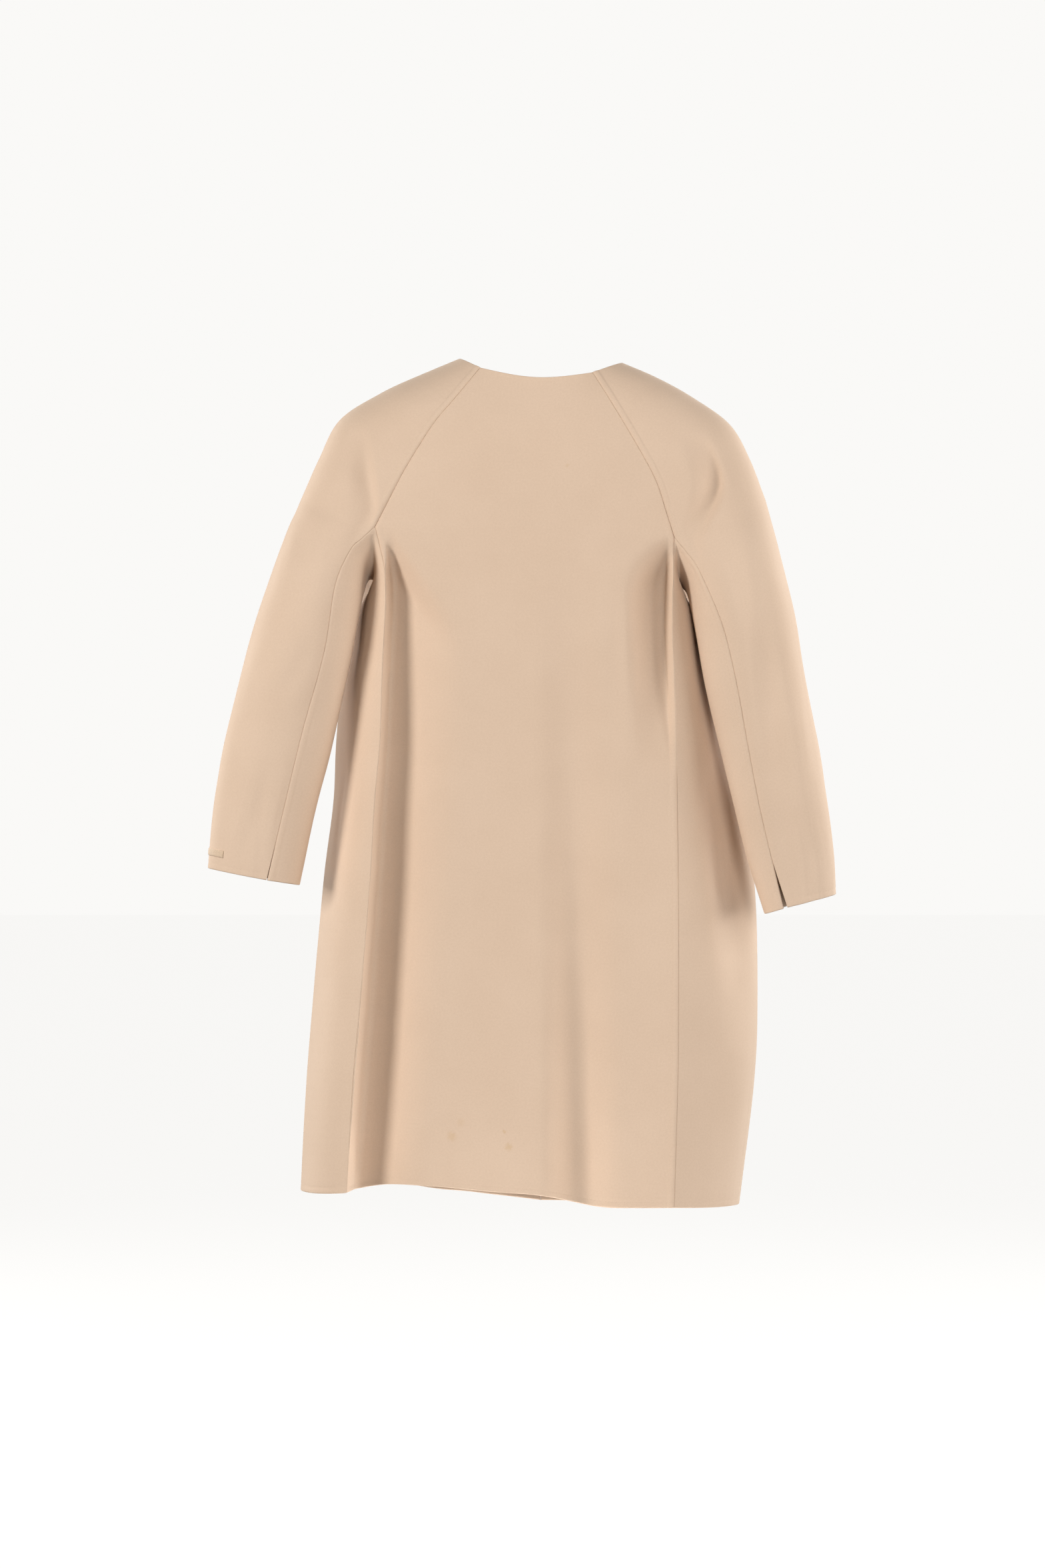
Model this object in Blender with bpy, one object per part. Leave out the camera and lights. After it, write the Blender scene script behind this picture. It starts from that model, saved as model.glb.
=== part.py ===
"""A collarless raglan coat in double-faced wool, filled out and hollow, with its front edges meeting.

Metres, +Z up. The coat faces -Y, so its back is towards +Y and its own left side is towards +X.
The origin lies midway between the two neck points, where a pair of shoulders carries the coat.
Every piece is a wall of cloth between seam lines that it shares with its neighbours.
"""
from collections import namedtuple

import bmesh
import bpy
import numpy as np

# Cloth and sewing
CLOTH = 0.0025
SEAM_GAP = 0.0003
CORNER_EASE = 2.0
SHARPEST_MITRE = 0.4
FRONT_EDGE_GAP = 0.001
WOOL_COLOUR = (0.72, 0.54, 0.40, 1.0)
TAB_COLOUR = (0.70, 0.52, 0.36, 1.0)
WOOL_ROUGHNESS = 0.9
SHARP_EDGE_DEGREES = 50.0

# Cuffs: the slit up the back seam, and the strip round the left one
VENT_LENGTH = 0.045
VENT_OPEN = {"left": 0.001, "right": 0.005}
VENT_ROWS = 4
TAB_ABOVE_CUFF = 0.015
TAB_WIDTH = 0.008
TAB_THICK = 0.001
TAB_COLUMNS_BACK = 4
TAB_COLUMNS_FRONT = 2

# Sections and columns of the walls
CAP_STEPS = 9
SLEEVE_STEPS = 11
BODY_STEPS = 16
BACK_COLUMNS = 28
BACK_EDGE_CROWDING = 0.55
FRONT_COLUMNS = 12
SLEEVE_HALF_COLUMNS = 9
SIDE_HALF_COLUMNS = 6

SIGN = {"left": 1.0, "right": -1.0}

# The tables of the seams and edges are in millimetres. X is measured outwards on both sides.
TABLE_UNIT = 0.001

# Raglan cap, from the neck to the underarm: back seam, crest of the shoulder, front seam, and how far
# round, in degrees, the back and the front seam lie from the crest.
Cap = namedtuple("Cap", "back_x back_y back_z crest_x crest_y crest_z front_x front_y front_z "
                 "back_turn front_turn")
CAP = {
    "left": [
        Cap(68, 50, -11, 91.5, 0, 2, 76, -66, -52, 62, 62),
        Cap(97, 63, -47, 136, 1, -16, 104, -82, -92, 66, 66),
        Cap(120, 70, -75, 182, 2, -37, 131, -86, -124, 72, 72),
        Cap(150, 73, -123, 227, 3, -67, 158, -80, -156, 82, 82),
        Cap(167, 73, -155, 250, 4, -111, 178, -64, -180, 94, 96),
        Cap(185, 71, -190, 270, 5, -157, 196, -44, -200, 105, 106),
    ],
    "right": [
        Cap(57, 50, -16, 91.5, 0, -2, 76, -66, -54, 62, 62),
        Cap(74, 60, -44, 128, 1, -18, 98, -82, -97, 66, 66),
        Cap(104, 70, -95, 171, 2, -42, 121, -86, -131, 72, 72),
        Cap(127, 73, -138, 212, 3, -72, 140, -80, -164, 82, 82),
        Cap(139, 73, -174, 235, 4, -112, 153, -64, -190, 96, 96),
        Cap(148, 71, -202, 252, 5, -157, 163, -44, -212, 113, 108),
    ],
}

# Sleeve, from the underarm to the cuff: outer edge, back seam, inner edge and front seam.
Sleeve = namedtuple("Sleeve", "outer_x outer_y outer_z back_x back_y back_z inner_x inner_y inner_z "
                    "front_x front_y front_z")
SLEEVE = {
    "left": [
        Sleeve(270, 5, -157, 185, 71, -190, 188, -4, -247, 196, -44, -200),
        Sleeve(276, 8, -172, 199, 74, -203, 193, 14, -248, 210, -41, -210),
        Sleeve(284, 12, -190, 212, 78, -216, 196.5, 34, -259, 222, -36, -222),
        Sleeve(302, 21, -240, 229, 86, -256, 200.5, 48, -277, 238, -26, -258),
        Sleeve(326, 30, -314, 241, 90, -329, 212, 54, -338, 258, -14, -326),
        Sleeve(349, 36, -404, 266, 88, -421, 232, 54, -430, 282, -4, -416),
        Sleeve(365, 38, -488, 286, 84, -503, 253, 52, -512, 302, 4, -500),
        Sleeve(373, 38, -570, 305, 79, -583, 269, 48, -589, 318, 9, -580),
    ],
    "right": [
        Sleeve(252, 5, -157, 148, 71, -202, 155, -4, -254, 163, -44, -212),
        Sleeve(258, 9, -180, 162, 75, -219, 160, 16, -258, 180, -41, -226),
        Sleeve(266, 14, -211, 176, 82, -240, 165, 38, -268, 194, -35, -244),
        Sleeve(283, 28, -283, 200, 96, -298, 173, 56, -308, 216, -22, -296),
        Sleeve(293, 38, -345, 215, 100, -359, 183, 62, -366, 234, -8, -357),
        Sleeve(308, 45, -424, 229, 98, -436, 200, 63, -441, 252, 4, -434),
        Sleeve(319, 47, -491, 242, 93, -503, 216, 61, -507, 266, 11, -500),
        Sleeve(327, 46, -553, 256, 86, -561, 231, 57, -565, 278, 15, -559),
        Sleeve(330, 44, -599, 271, 80, -614, 249, 53, -621, 289, 18, -609),
    ],
}

# Side of the body, from the underarm to the hem: back seam, outermost line, front seam, and how far
# round, in degrees, the back and the front seam lie from that line.
Side = namedtuple("Side", "back_x back_y back_z side_x side_y side_z front_x front_y front_z "
                  "back_turn front_turn")
SIDE = {
    "left": [
        Side(185, 71, -190, 188, -4, -247, 196, -44, -200, 88, 88),
        Side(180, 69, -212, 190.5, -16, -257, 201, -56, -222, 82, 80),
        Side(175, 69, -236, 199, -27, -266, 203, -68, -246, 76, 70),
        Side(173, 71, -268, 209, -33, -286, 200, -80, -274, 72, 62),
        Side(175, 75, -314, 217, -36, -325, 194, -89, -316, 72, 60),
        Side(177, 79, -360, 226, -37, -366, 189, -96, -362, 72, 60),
        Side(179, 83, -428, 232, -37, -430, 184, -103, -429, 72, 62),
        Side(185, 86, -495, 235, -37, -495, 183, -108, -495, 74, 64),
        Side(190, 89, -585, 246, -37, -585, 184, -112, -586, 76, 66),
        Side(201, 92, -718, 258, -36, -720, 187, -116, -720, 78, 68),
        Side(209, 94, -808, 265, -36, -811, 190, -118, -811, 78, 68),
        Side(216, 95, -929, 272, -36, -934, 195, -119, -930, 78, 68),
    ],
    "right": [
        Side(148, 71, -202, 155, -4, -254, 163, -44, -212, 88, 88),
        Side(147, 68, -222, 157, -16, -264, 168, -56, -234, 80, 80),
        Side(147, 68, -244, 167, -28, -274, 171, -68, -257, 74, 70),
        Side(146, 69, -276, 182, -36, -299, 172, -81, -286, 68, 62),
        Side(146, 73, -314, 189, -40, -327, 169, -90, -322, 68, 60),
        Side(148, 76, -360, 199, -43, -367, 166, -97, -365, 68, 60),
        Side(150, 79, -437, 214, -44, -439, 163, -104, -440, 68, 62),
        Side(151, 77, -510, 231, -43, -511, 162, -109, -512, 60, 64),
        Side(152, 80, -599, 243, -41, -600, 162, -113, -601, 62, 66),
        Side(152, 84, -718, 246, -38, -720, 162, -117, -720, 64, 66),
        Side(151, 86, -808, 242, -37, -811, 161, -119, -811, 64, 66),
        Side(147, 88, -946, 225, -37, -950, 152, -120, -956, 64, 66),
    ],
}

# Middle of the back and of the fronts, from the neck to the hem.
Middle = namedtuple("Middle", "z back_y front_y")
MIDDLE = [
    Middle(-0.018, 0.062, -0.080),
    Middle(-0.100, 0.086, -0.092),
    Middle(-0.200, 0.091, -0.108),
    Middle(-0.400, 0.090, -0.119),
    Middle(-0.600, 0.092, -0.124),
    Middle(-0.800, 0.096, -0.128),
    Middle(-0.960, 0.099, -0.130),
]
BACK_CROWN = 2.6
FRONT_CROWN = 1.8
BACK_NECK_DIP = 0.0093
FRONT_NECK_Z = -0.085
FRONT_UNDERARM_Z = -0.240
FRONT_HEM_Z = -0.954

# Back hem: how far it hangs below a straight line between the side seams.
Hem = namedtuple("Hem", "across drop")
BACK_HEM = [Hem(0.00, 0.000), Hem(0.12, -0.010), Hem(0.25, -0.012), Hem(0.45, -0.009),
            Hem(0.60, -0.007), Hem(0.75, 0.003), Hem(0.88, 0.002), Hem(1.00, 0.000)]
HEM_FADE = 0.20

# Largest folds: a trough from its top to its end, pressed into the cloth, with its depth at the top,
# half-way and at the end, its reach to the coat's left and right of the line of the trough, the length
# that it sinks in over, the slant of its top, how broad its floor is, and its steep side, 1 for left.
LEAST_REACH = 0.004
Fold = namedtuple("Fold", "top_x top_z mid_x end_x end_z top_depth mid_depth end_depth "
                  "reach_left reach_right fade slant floor steep")
FOLDS = {
    "back": [
        Fold(0.159, -0.204, 0.177, 0.204, -0.935, 0.024, 0.033, 0.036, 0.013, 0.085, 0.050, 1.2, 1.0, 1),
        Fold(-0.134, -0.202, -0.135, -0.142, -0.470, 0.025, 0.020, 0.000, 0.044, 0.012, 0.050, -0.6, 1.2, -1),
        Fold(-0.028, -0.120, -0.038, -0.042, -0.960, 0.000, 0.013, 0.026, 0.046, 0.055, 0.020, 0.0, 1.0, 0),
    ],
    "front_left": [
        Fold(0.098, -0.240, 0.106, 0.116, -0.960, 0.000, 0.010, 0.016, 0.040, 0.040, 0.020, 0.0, 1.0, 0),
    ],
    "front_right": [
        Fold(-0.080, -0.220, -0.090, -0.094, -0.960, 0.000, 0.008, 0.014, 0.036, 0.036, 0.020, 0.0, 1.0, 0),
    ],
    "sleeve_left": [
        Fold(0.204, -0.070, 0.194, 0.188, -0.190, 0.000, 0.010, 0.004, 0.032, 0.013, 0.020, 0.0, 1.0, 0),
    ],
    "sleeve_right": [
        Fold(-0.174, -0.080, -0.194, -0.168, -0.205, 0.000, 0.013, 0.003, 0.030, 0.014, 0.020, 0.0, 1.0, 0),
        Fold(-0.243, -0.180, -0.252, -0.282, -0.570, 0.000, 0.008, 0.002, 0.024, 0.028, 0.020, 0.0, 1.0, 0),
    ],
    "side_left": [],
    "side_right": [
        Fold(-0.184, -0.420, -0.214, -0.232, -0.780, 0.000, 0.018, 0.000, 0.034, 0.040, 0.020, 0.0, 1.0, 0),
    ],
}


def along(table, rows):
    """Read a table at fractional row numbers, on a smooth curve through all its rows."""
    values = np.array(table, dtype=float)
    slopes = np.gradient(values, axis=0)
    rows = np.asarray(rows, dtype=float)
    low = np.clip(np.floor(rows).astype(int), 0, len(values) - 2)
    t = (rows - low)[:, None]
    start = values[low] * (2 * t**3 - 3 * t**2 + 1) + slopes[low] * (t**3 - 2 * t**2 + t)
    end = values[low + 1] * (3 * t**2 - 2 * t**3) + slopes[low + 1] * (t**3 - t**2)
    return start + end


def at_height(z, column):
    """Depth of the middle of the coat at height z."""
    heights = [-row.z for row in MIDDLE]
    return np.interp(-z, heights, [getattr(row, column) for row in MIDDLE])


def sleeve_rows(side):
    """Row numbers of a sleeve's sections: even steps down to the vent, then the tab's edges and the cuff."""
    table = SLEEVE[side]
    last = len(table) - 1
    hand = TABLE_UNIT * (table[-2].outer_z - table[-1].outer_z)
    marks = (VENT_LENGTH, TAB_ABOVE_CUFF + TAB_WIDTH, TAB_ABOVE_CUFF, 0.0)
    below_vent = [last - mark / hand for mark in marks]
    return np.concatenate([np.linspace(0.0, below_vent[0], SLEEVE_STEPS + 1)[:-1], below_vent])


def cap_rows(side):
    """Row numbers of a raglan cap's sections from the neck to the underarm."""
    return np.linspace(0.0, len(CAP[side]) - 1.0, CAP_STEPS + 1)


def columns(table, rows, side, *names):
    """Points read from three columns of a table, placed on the coat's own left or right."""
    fields = table[0]._fields
    values = along(table, rows)
    points = TABLE_UNIT * values[:, [fields.index(name) for name in names]]
    points[:, 0] *= SIGN[side]
    return points


def turns(table, rows):
    """How far round the back and the front seam lie, at fractional row numbers of a table."""
    fields = table[0]._fields
    return along(table, rows)[:, [fields.index("back_turn"), fields.index("front_turn")]]


def arch(edge, crest, turn, steps):
    """Elliptical arc from a seam point to a crest, where the cloth lies along Y; turn is in degrees."""
    angles = np.radians(turn) * np.linspace(1.0, 0.0, steps + 1)
    middle = crest + (edge - crest) / (1.0 - np.cos(angles[0]))
    middle[1] = crest[1]
    points = middle + np.outer(np.cos(angles), crest - middle)
    points[:, 1] += (edge[1] - crest[1]) * np.sin(angles) / np.sin(angles[0])
    points[0] = edge
    return points


def bridge(back, crest, front, turn, steps):
    """One section of a sleeve or side: from its back seam round the crest to its front seam."""
    back_half = arch(back, crest, turn[0], steps)
    front_half = arch(front, crest, turn[1], steps)
    return np.concatenate([back_half, front_half[::-1][1:]])


def sleeve_turn(outer, back, front, inner):
    """How far round from the outer edge the two seams lie, from where they fall between the two edges."""
    across = []
    for seam in (back, front):
        to_seam = np.hypot(*(outer - seam)[[0, 2]])
        past_seam = np.hypot(*(seam - inner)[[0, 2]])
        across.append(to_seam / (to_seam + past_seam))
    return np.degrees(np.arccos(1.0 - 2.0 * np.array(across)))


def press_folds(name, grid, facing, bounded):
    """Press a piece's folds into its points along Y, where it faces front or back; bounded keeps them
    within the piece's two seams."""
    for fold in FOLDS[name]:
        part = (fold.top_z - grid[..., 2]) / (fold.top_z - fold.end_z)
        inside = 2.0 * np.clip(part, 0.0, 1.0).ravel()
        line = along([[fold.top_x], [fold.mid_x], [fold.end_x]], inside).reshape(part.shape)
        depth = along([[fold.top_depth], [fold.mid_depth], [fold.end_depth]], inside).reshape(part.shape)
        depth = np.where((part > 1.0) & (fold.end_depth == 0.0), 0.0, depth)
        offset = grid[..., 0] - line
        sunk = np.clip((fold.top_z + fold.slant * offset - grid[..., 2]) / fold.fade, 0.0, 1.0)
        reach_left, reach_right = fold.reach_left, fold.reach_right
        if bounded:
            low_edge = np.minimum(grid[:, :1, 0], grid[:, -1:, 0])
            high_edge = np.maximum(grid[:, :1, 0], grid[:, -1:, 0])
            reach_left = np.clip(high_edge - line, LEAST_REACH, reach_left)
            reach_right = np.clip(line - low_edge, LEAST_REACH, reach_right)
        across = np.clip(np.where(offset > 0.0, offset / reach_left, -offset / reach_right), 0.0, 1.0)
        trough = np.cos(0.5 * np.pi * across ** fold.floor) ** 2
        trough = np.where(offset * fold.steep > 0.0, np.cos(0.5 * np.pi * across), trough)
        grid[..., 1] -= facing * depth * sunk * sunk * (3.0 - 2.0 * sunk) * trough


def sleeve_grid(side):
    """Top sleeve: the raglan cap from the neck, then the outer part of the sleeve to the cuff."""
    rows = cap_rows(side)
    backs = columns(CAP[side], rows, side, "back_x", "back_y", "back_z")
    crests = columns(CAP[side], rows, side, "crest_x", "crest_y", "crest_z")
    fronts = columns(CAP[side], rows, side, "front_x", "front_y", "front_z")
    lines = zip(backs, crests, fronts, turns(CAP[side], rows))
    sections = [bridge(*line, SLEEVE_HALF_COLUMNS) for line in lines]
    for outer, back, front, inner in list(zip(*sleeve_lines(side)))[1:]:
        turn = sleeve_turn(outer, back, front, inner)
        sections.append(bridge(back, outer, front, turn, SLEEVE_HALF_COLUMNS))
    grid = np.array(sections)
    facing = np.zeros(grid.shape[:2])
    facing[:, :SLEEVE_HALF_COLUMNS + 1] = np.sin(np.linspace(0.5 * np.pi, 0.0, SLEEVE_HALF_COLUMNS + 1))
    facing[:, 0] = 0.0
    press_folds("sleeve_" + side, grid, facing, False)
    return grid


def sleeve_lines(side):
    """Outer edge, back seam, front seam and inner edge of a sleeve at each of its sections."""
    rows = sleeve_rows(side)
    outer = columns(SLEEVE[side], rows, side, "outer_x", "outer_y", "outer_z")
    back = columns(SLEEVE[side], rows, side, "back_x", "back_y", "back_z")
    front = columns(SLEEVE[side], rows, side, "front_x", "front_y", "front_z")
    inner = columns(SLEEVE[side], rows, side, "inner_x", "inner_y", "inner_z")
    return outer, back, front, inner


def side_grid(side):
    """Side panel cut in one with the under sleeve: from the cuff up to the underarm, down to the hem."""
    sections = []
    for outer, back, front, inner in list(zip(*sleeve_lines(side)))[:0:-1]:
        turn = 180.0 - sleeve_turn(outer, back, front, inner)
        sections.append(bridge(back, inner, front, turn, SIDE_HALF_COLUMNS))
    for row in zip(*body_lines(side), turns(SIDE[side], body_rows(side))):
        sections.append(bridge(*row, SIDE_HALF_COLUMNS))
    grid = np.array(sections)
    facing = np.zeros(grid.shape[:2])
    facing[len(sleeve_rows(side)):, 1:SIDE_HALF_COLUMNS] = 1.0
    press_folds("side_" + side, grid, facing, False)
    return grid


def body_rows(side):
    """Row numbers of the body's sections from the underarm point to the hem."""
    return np.linspace(0.0, len(SIDE[side]) - 1.0, BODY_STEPS + 1)


def body_lines(side):
    """Back seam, outermost line and front seam of one side of the body."""
    rows = body_rows(side)
    back = columns(SIDE[side], rows, side, "back_x", "back_y", "back_z")
    crest = columns(SIDE[side], rows, side, "side_x", "side_y", "side_z")
    front = columns(SIDE[side], rows, side, "front_x", "front_y", "front_z")
    return back, crest, front


def whole_seam(side, face):
    """Seam of the back or of a front, from the neck along the raglan cap and down the side to the hem."""
    cap = columns(CAP[side], cap_rows(side), side, face + "_x", face + "_y", face + "_z")
    back, _, front = body_lines(side)
    body = back if face == "back" else front
    return np.concatenate([cap, body[1:]])


def back_grid():
    """Back panel: a broad crowned wall between the two whole back seams, shaped at the neck and hem."""
    left = whole_seam("left", "back")
    right = whole_seam("right", "back")
    even = np.linspace(0.0, 1.0, BACK_COLUMNS + 1)
    across = even - BACK_EDGE_CROWDING * np.sin(2.0 * np.pi * even) / (2.0 * np.pi)
    grid = left[:, None, :] + (right - left)[:, None, :] * across[None, :, None]
    crown = 1.0 - np.abs(2.0 * across - 1.0) ** BACK_CROWN
    mid_height = 0.5 * (left[:, 2] + right[:, 2])
    rise = at_height(mid_height, "back_y") - 0.5 * (left[:, 1] + right[:, 1])
    grid[..., 1] += rise[:, None] * crown
    neck = np.clip(1.0 - np.arange(len(left)) / CAP_STEPS, 0.0, 1.0) ** 2
    grid[..., 2] -= BACK_NECK_DIP * neck[:, None] * np.sin(np.pi * across)
    hem = np.clip((mid_height[-1] + HEM_FADE - mid_height) / HEM_FADE, 0.0, 1.0) ** 2
    drop = np.interp(across, [row.across for row in BACK_HEM], [row.drop for row in BACK_HEM])
    grid[..., 2] -= hem[:, None] * drop
    press_folds("back", grid, 1.0, True)
    return grid


def front_grid(side):
    """Front panel: a plain crowned wall from its whole front seam to the centre front edge."""
    seam = whole_seam(side, "front")
    cap_part = np.linspace(FRONT_NECK_Z, FRONT_UNDERARM_Z, CAP_STEPS + 1)
    body = seam[CAP_STEPS:, 2]
    body_part = (body - body[0]) / (body[-1] - body[0])
    edge_z = np.concatenate([cap_part, FRONT_UNDERARM_Z + (FRONT_HEM_Z - FRONT_UNDERARM_Z) * body_part[1:]])
    edge = np.zeros_like(seam)
    edge[:, 0] = SIGN[side] * 0.5 * FRONT_EDGE_GAP
    edge[:, 1] = at_height(edge_z, "front_y")
    edge[:, 2] = edge_z
    across = np.linspace(0.0, 1.0, FRONT_COLUMNS + 1)
    grid = seam[:, None, :] + (edge - seam)[:, None, :] * across[None, :, None]
    crown = 1.0 - (1.0 - across) ** FRONT_CROWN
    grid[..., 1] = seam[:, 1:2] + (edge[:, 1] - seam[:, 1])[:, None] * crown
    neck = np.clip(1.0 - np.arange(len(seam)) / CAP_STEPS, 0.0, 1.0)
    scoop = np.sqrt(1.0 - (1.0 - across) ** 2) - across
    grid[..., 2] += (edge[:, 2] - seam[:, 2])[:, None] * scoop * neck[:, None]
    press_folds("front_" + side, grid, -1.0, True)
    return grid


def surface_normals(grid, outward):
    """Unit normals at a grid's points; outward is a direction that its middle point faces."""
    down = np.gradient(grid, axis=0)
    across = np.gradient(grid, axis=1)
    normals = np.cross(down, across)
    normals /= np.linalg.norm(normals, axis=2, keepdims=True)
    row, column = outward[0]
    if np.dot(normals[row, column], outward[1]) < 0.0:
        normals = -normals
    return normals


def share_normals(grids, normals):
    """Point every seam point's normal down the mitre of the pieces that meet there, and give wall depths."""
    depths = {name: np.full(grid.shape[:2], CLOTH) for name, grid in grids.items()}
    meeting = {}
    for name, grid in grids.items():
        for index in np.ndindex(grid.shape[:2]):
            key = tuple(np.round(grid[index], 6))
            meeting.setdefault(key, []).append((name, index))
    for places in meeting.values():
        if len(places) > 1:
            mean = sum(normals[name][index] for name, index in places)
            mean /= np.linalg.norm(mean)
            slant = min(np.dot(mean, normals[name][index]) for name, index in places)
            for name, index in places:
                normals[name][index] = mean
                depths[name][index] = CLOTH / max(slant, SHARPEST_MITRE)
    return depths


def draw_back(grid, column, neighbour, distances, corner=None):
    """Directions and lengths that draw one seam edge back into its own piece."""
    edge = grid[:, column]
    along_seam = np.gradient(edge, axis=0)
    along_seam /= np.linalg.norm(along_seam, axis=1, keepdims=True)
    inward = grid[:, neighbour] - edge
    square = inward - np.sum(inward * along_seam, axis=1, keepdims=True) * along_seam
    if corner is not None:
        square[corner] = inward[corner]
        distances = distances.copy()
        distances[corner] *= CORNER_EASE
    square /= np.linalg.norm(square, axis=1, keepdims=True)
    return square * distances[:, None]


def seam_distances(name, grid, side):
    """How far each back seam point is drawn back: half the seam gap, and more down an open vent."""
    distances = np.full(len(grid), 0.5 * SEAM_GAP)
    if name.startswith("back"):
        return distances
    vent = np.linspace(0.0, 1.0, VENT_ROWS) * 0.5 * VENT_OPEN[side]
    if name.startswith("sleeve"):
        distances[-VENT_ROWS:] += vent
    if name.startswith("side"):
        distances[:VENT_ROWS] += vent[::-1]
    return distances


def wall_object(name, outer, inner, colour, parent):
    """Closed wall between an outer and an inner grid of points, as one named object."""
    rows, count = outer.shape[:2]
    half = rows * count
    faces = []
    for row in range(rows - 1):
        for column in range(count - 1):
            a = row * count + column
            b, c, d = a + 1, a + count + 1, a + count
            faces += [(a, b, c), (a, c, d), (a + half, c + half, b + half), (a + half, d + half, c + half)]
    rim = list(range(count))
    rim += [row * count + count - 1 for row in range(1, rows)]
    rim += [(rows - 1) * count + column for column in range(count - 2, -1, -1)]
    rim += [row * count for row in range(rows - 2, 0, -1)]
    heights = outer.reshape(-1, 3)[:, 2]
    for a, b in zip(rim, rim[1:] + rim[:1]):
        upper, lower = (a, b) if heights[a] > heights[b] else (b, a)
        faces += [(upper, lower, lower + half), (upper, lower + half, upper + half)]
    mesh = bpy.data.meshes.new(name)
    mesh.from_pydata(np.concatenate([outer.reshape(-1, 3), inner.reshape(-1, 3)]).tolist(), [], faces)
    shell = bmesh.new()
    shell.from_mesh(mesh)
    bmesh.ops.recalc_face_normals(shell, faces=shell.faces)
    shell.to_mesh(mesh)
    shell.free()
    mesh.shade_smooth()
    mesh.set_sharp_from_angle(angle=np.radians(SHARP_EDGE_DEGREES))
    mesh.materials.append(cloth_material(name, colour))
    piece = bpy.data.objects.new(name, mesh)
    piece.parent = parent
    bpy.context.scene.collection.objects.link(piece)
    return piece


def cloth_material(name, colour):
    """Matt wool in one colour."""
    material = bpy.data.materials.new(name + "_cloth")
    material.use_nodes = True
    shader = material.node_tree.nodes["Principled BSDF"]
    shader.inputs["Base Color"].default_value = colour
    shader.inputs["Roughness"].default_value = WOOL_ROUGHNESS
    return material


def cuff_tab(sleeve, normals, parent):
    """Thin strip round the outer edge of the left cuff, made from the sleeve's own points, moved out."""
    round_edge = slice(SLEEVE_HALF_COLUMNS - TAB_COLUMNS_BACK, SLEEVE_HALF_COLUMNS + TAB_COLUMNS_FRONT + 1)
    points = sleeve[-3:-1, round_edge]
    out = normals[-3:-1, round_edge]
    inner = points + SEAM_GAP * out
    outer = inner + TAB_THICK * out
    wall_object("cuff_tab", outer, inner, TAB_COLOUR, parent)


def main():
    for leftover in list(bpy.data.objects):
        bpy.data.objects.remove(leftover)
    coat = bpy.data.objects.new("coat", None)
    bpy.context.scene.collection.objects.link(coat)
    grids = {"back": back_grid()}
    outward = {"back": ((CAP_STEPS + 4, BACK_COLUMNS // 2), (0.0, 1.0, 0.0))}
    for side, sign in SIGN.items():
        grids["front_" + side] = front_grid(side)
        grids["sleeve_" + side] = sleeve_grid(side)
        grids["side_" + side] = side_grid(side)
        outward["front_" + side] = ((CAP_STEPS + 4, FRONT_COLUMNS // 2), (0.0, -1.0, 0.0))
        outward["sleeve_" + side] = ((-3, SLEEVE_HALF_COLUMNS), (sign, 0.0, 0.0))
        outward["side_" + side] = ((-3, SIDE_HALF_COLUMNS), (sign, 0.0, 0.0))
    normals = {name: surface_normals(grid, outward[name]) for name, grid in grids.items()}
    depths = share_normals(grids, normals)
    for name, grid in grids.items():
        side = "right" if name.endswith("right") else "left"
        shift = np.zeros_like(grid)
        underarm = len(sleeve_rows(side)) - 1 if name.startswith("side") else None
        plain = np.full(len(grid), 0.5 * SEAM_GAP)
        back_edge = plain if name.startswith("front") else seam_distances(name, grid, side)
        shift[:, 0] = draw_back(grid, 0, 1, back_edge, underarm)
        if not name.startswith("front"):
            shift[:, -1] = draw_back(grid, -1, -2, plain, underarm)
        outer = grid + shift
        wall_object(name, outer, outer - depths[name][..., None] * normals[name], WOOL_COLOUR, coat)
    cuff_tab(grids["sleeve_left"], normals["sleeve_left"], coat)


main()
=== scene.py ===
"""Looks of a collarless raglan coat in double-faced wool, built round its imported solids.

Metres, +Z up. The coat faces -Y, so its back is towards +Y and its own left side is towards +X.
Every panel is a fine wall of cloth between the seam lines that it shares with its neighbours.
"""

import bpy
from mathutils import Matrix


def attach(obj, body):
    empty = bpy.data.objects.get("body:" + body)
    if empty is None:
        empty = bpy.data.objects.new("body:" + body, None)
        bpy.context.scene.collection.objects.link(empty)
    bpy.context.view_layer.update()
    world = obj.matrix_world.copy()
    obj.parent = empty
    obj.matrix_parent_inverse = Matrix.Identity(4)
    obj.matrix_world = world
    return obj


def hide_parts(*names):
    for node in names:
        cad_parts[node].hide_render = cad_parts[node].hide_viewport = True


bl_info = {
    "name": "Wool Coat",
    "version": (1, 0, 0),
    "blender": (4, 5, 0),
    "location": "3D View > Sidebar > Coat",
    "description": "Builds the panels, the sewing, the cuff strip and the stage of a raglan wool coat",
    "category": "Object",
}

import functools
from collections import namedtuple

import bpy
import numpy as np
from mathutils import Vector, noise

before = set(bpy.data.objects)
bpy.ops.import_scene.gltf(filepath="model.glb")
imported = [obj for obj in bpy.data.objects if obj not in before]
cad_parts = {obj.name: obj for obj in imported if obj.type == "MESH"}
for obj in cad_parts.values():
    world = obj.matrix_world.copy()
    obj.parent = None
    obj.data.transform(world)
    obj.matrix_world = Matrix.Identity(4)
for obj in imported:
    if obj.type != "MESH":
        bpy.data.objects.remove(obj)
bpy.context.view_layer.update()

SIGN = {"left": 1.0, "right": -1.0}

# Seams and edges, in millimetres, with X measured outwards on both sides.
TABLE_UNIT = 0.001

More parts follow.
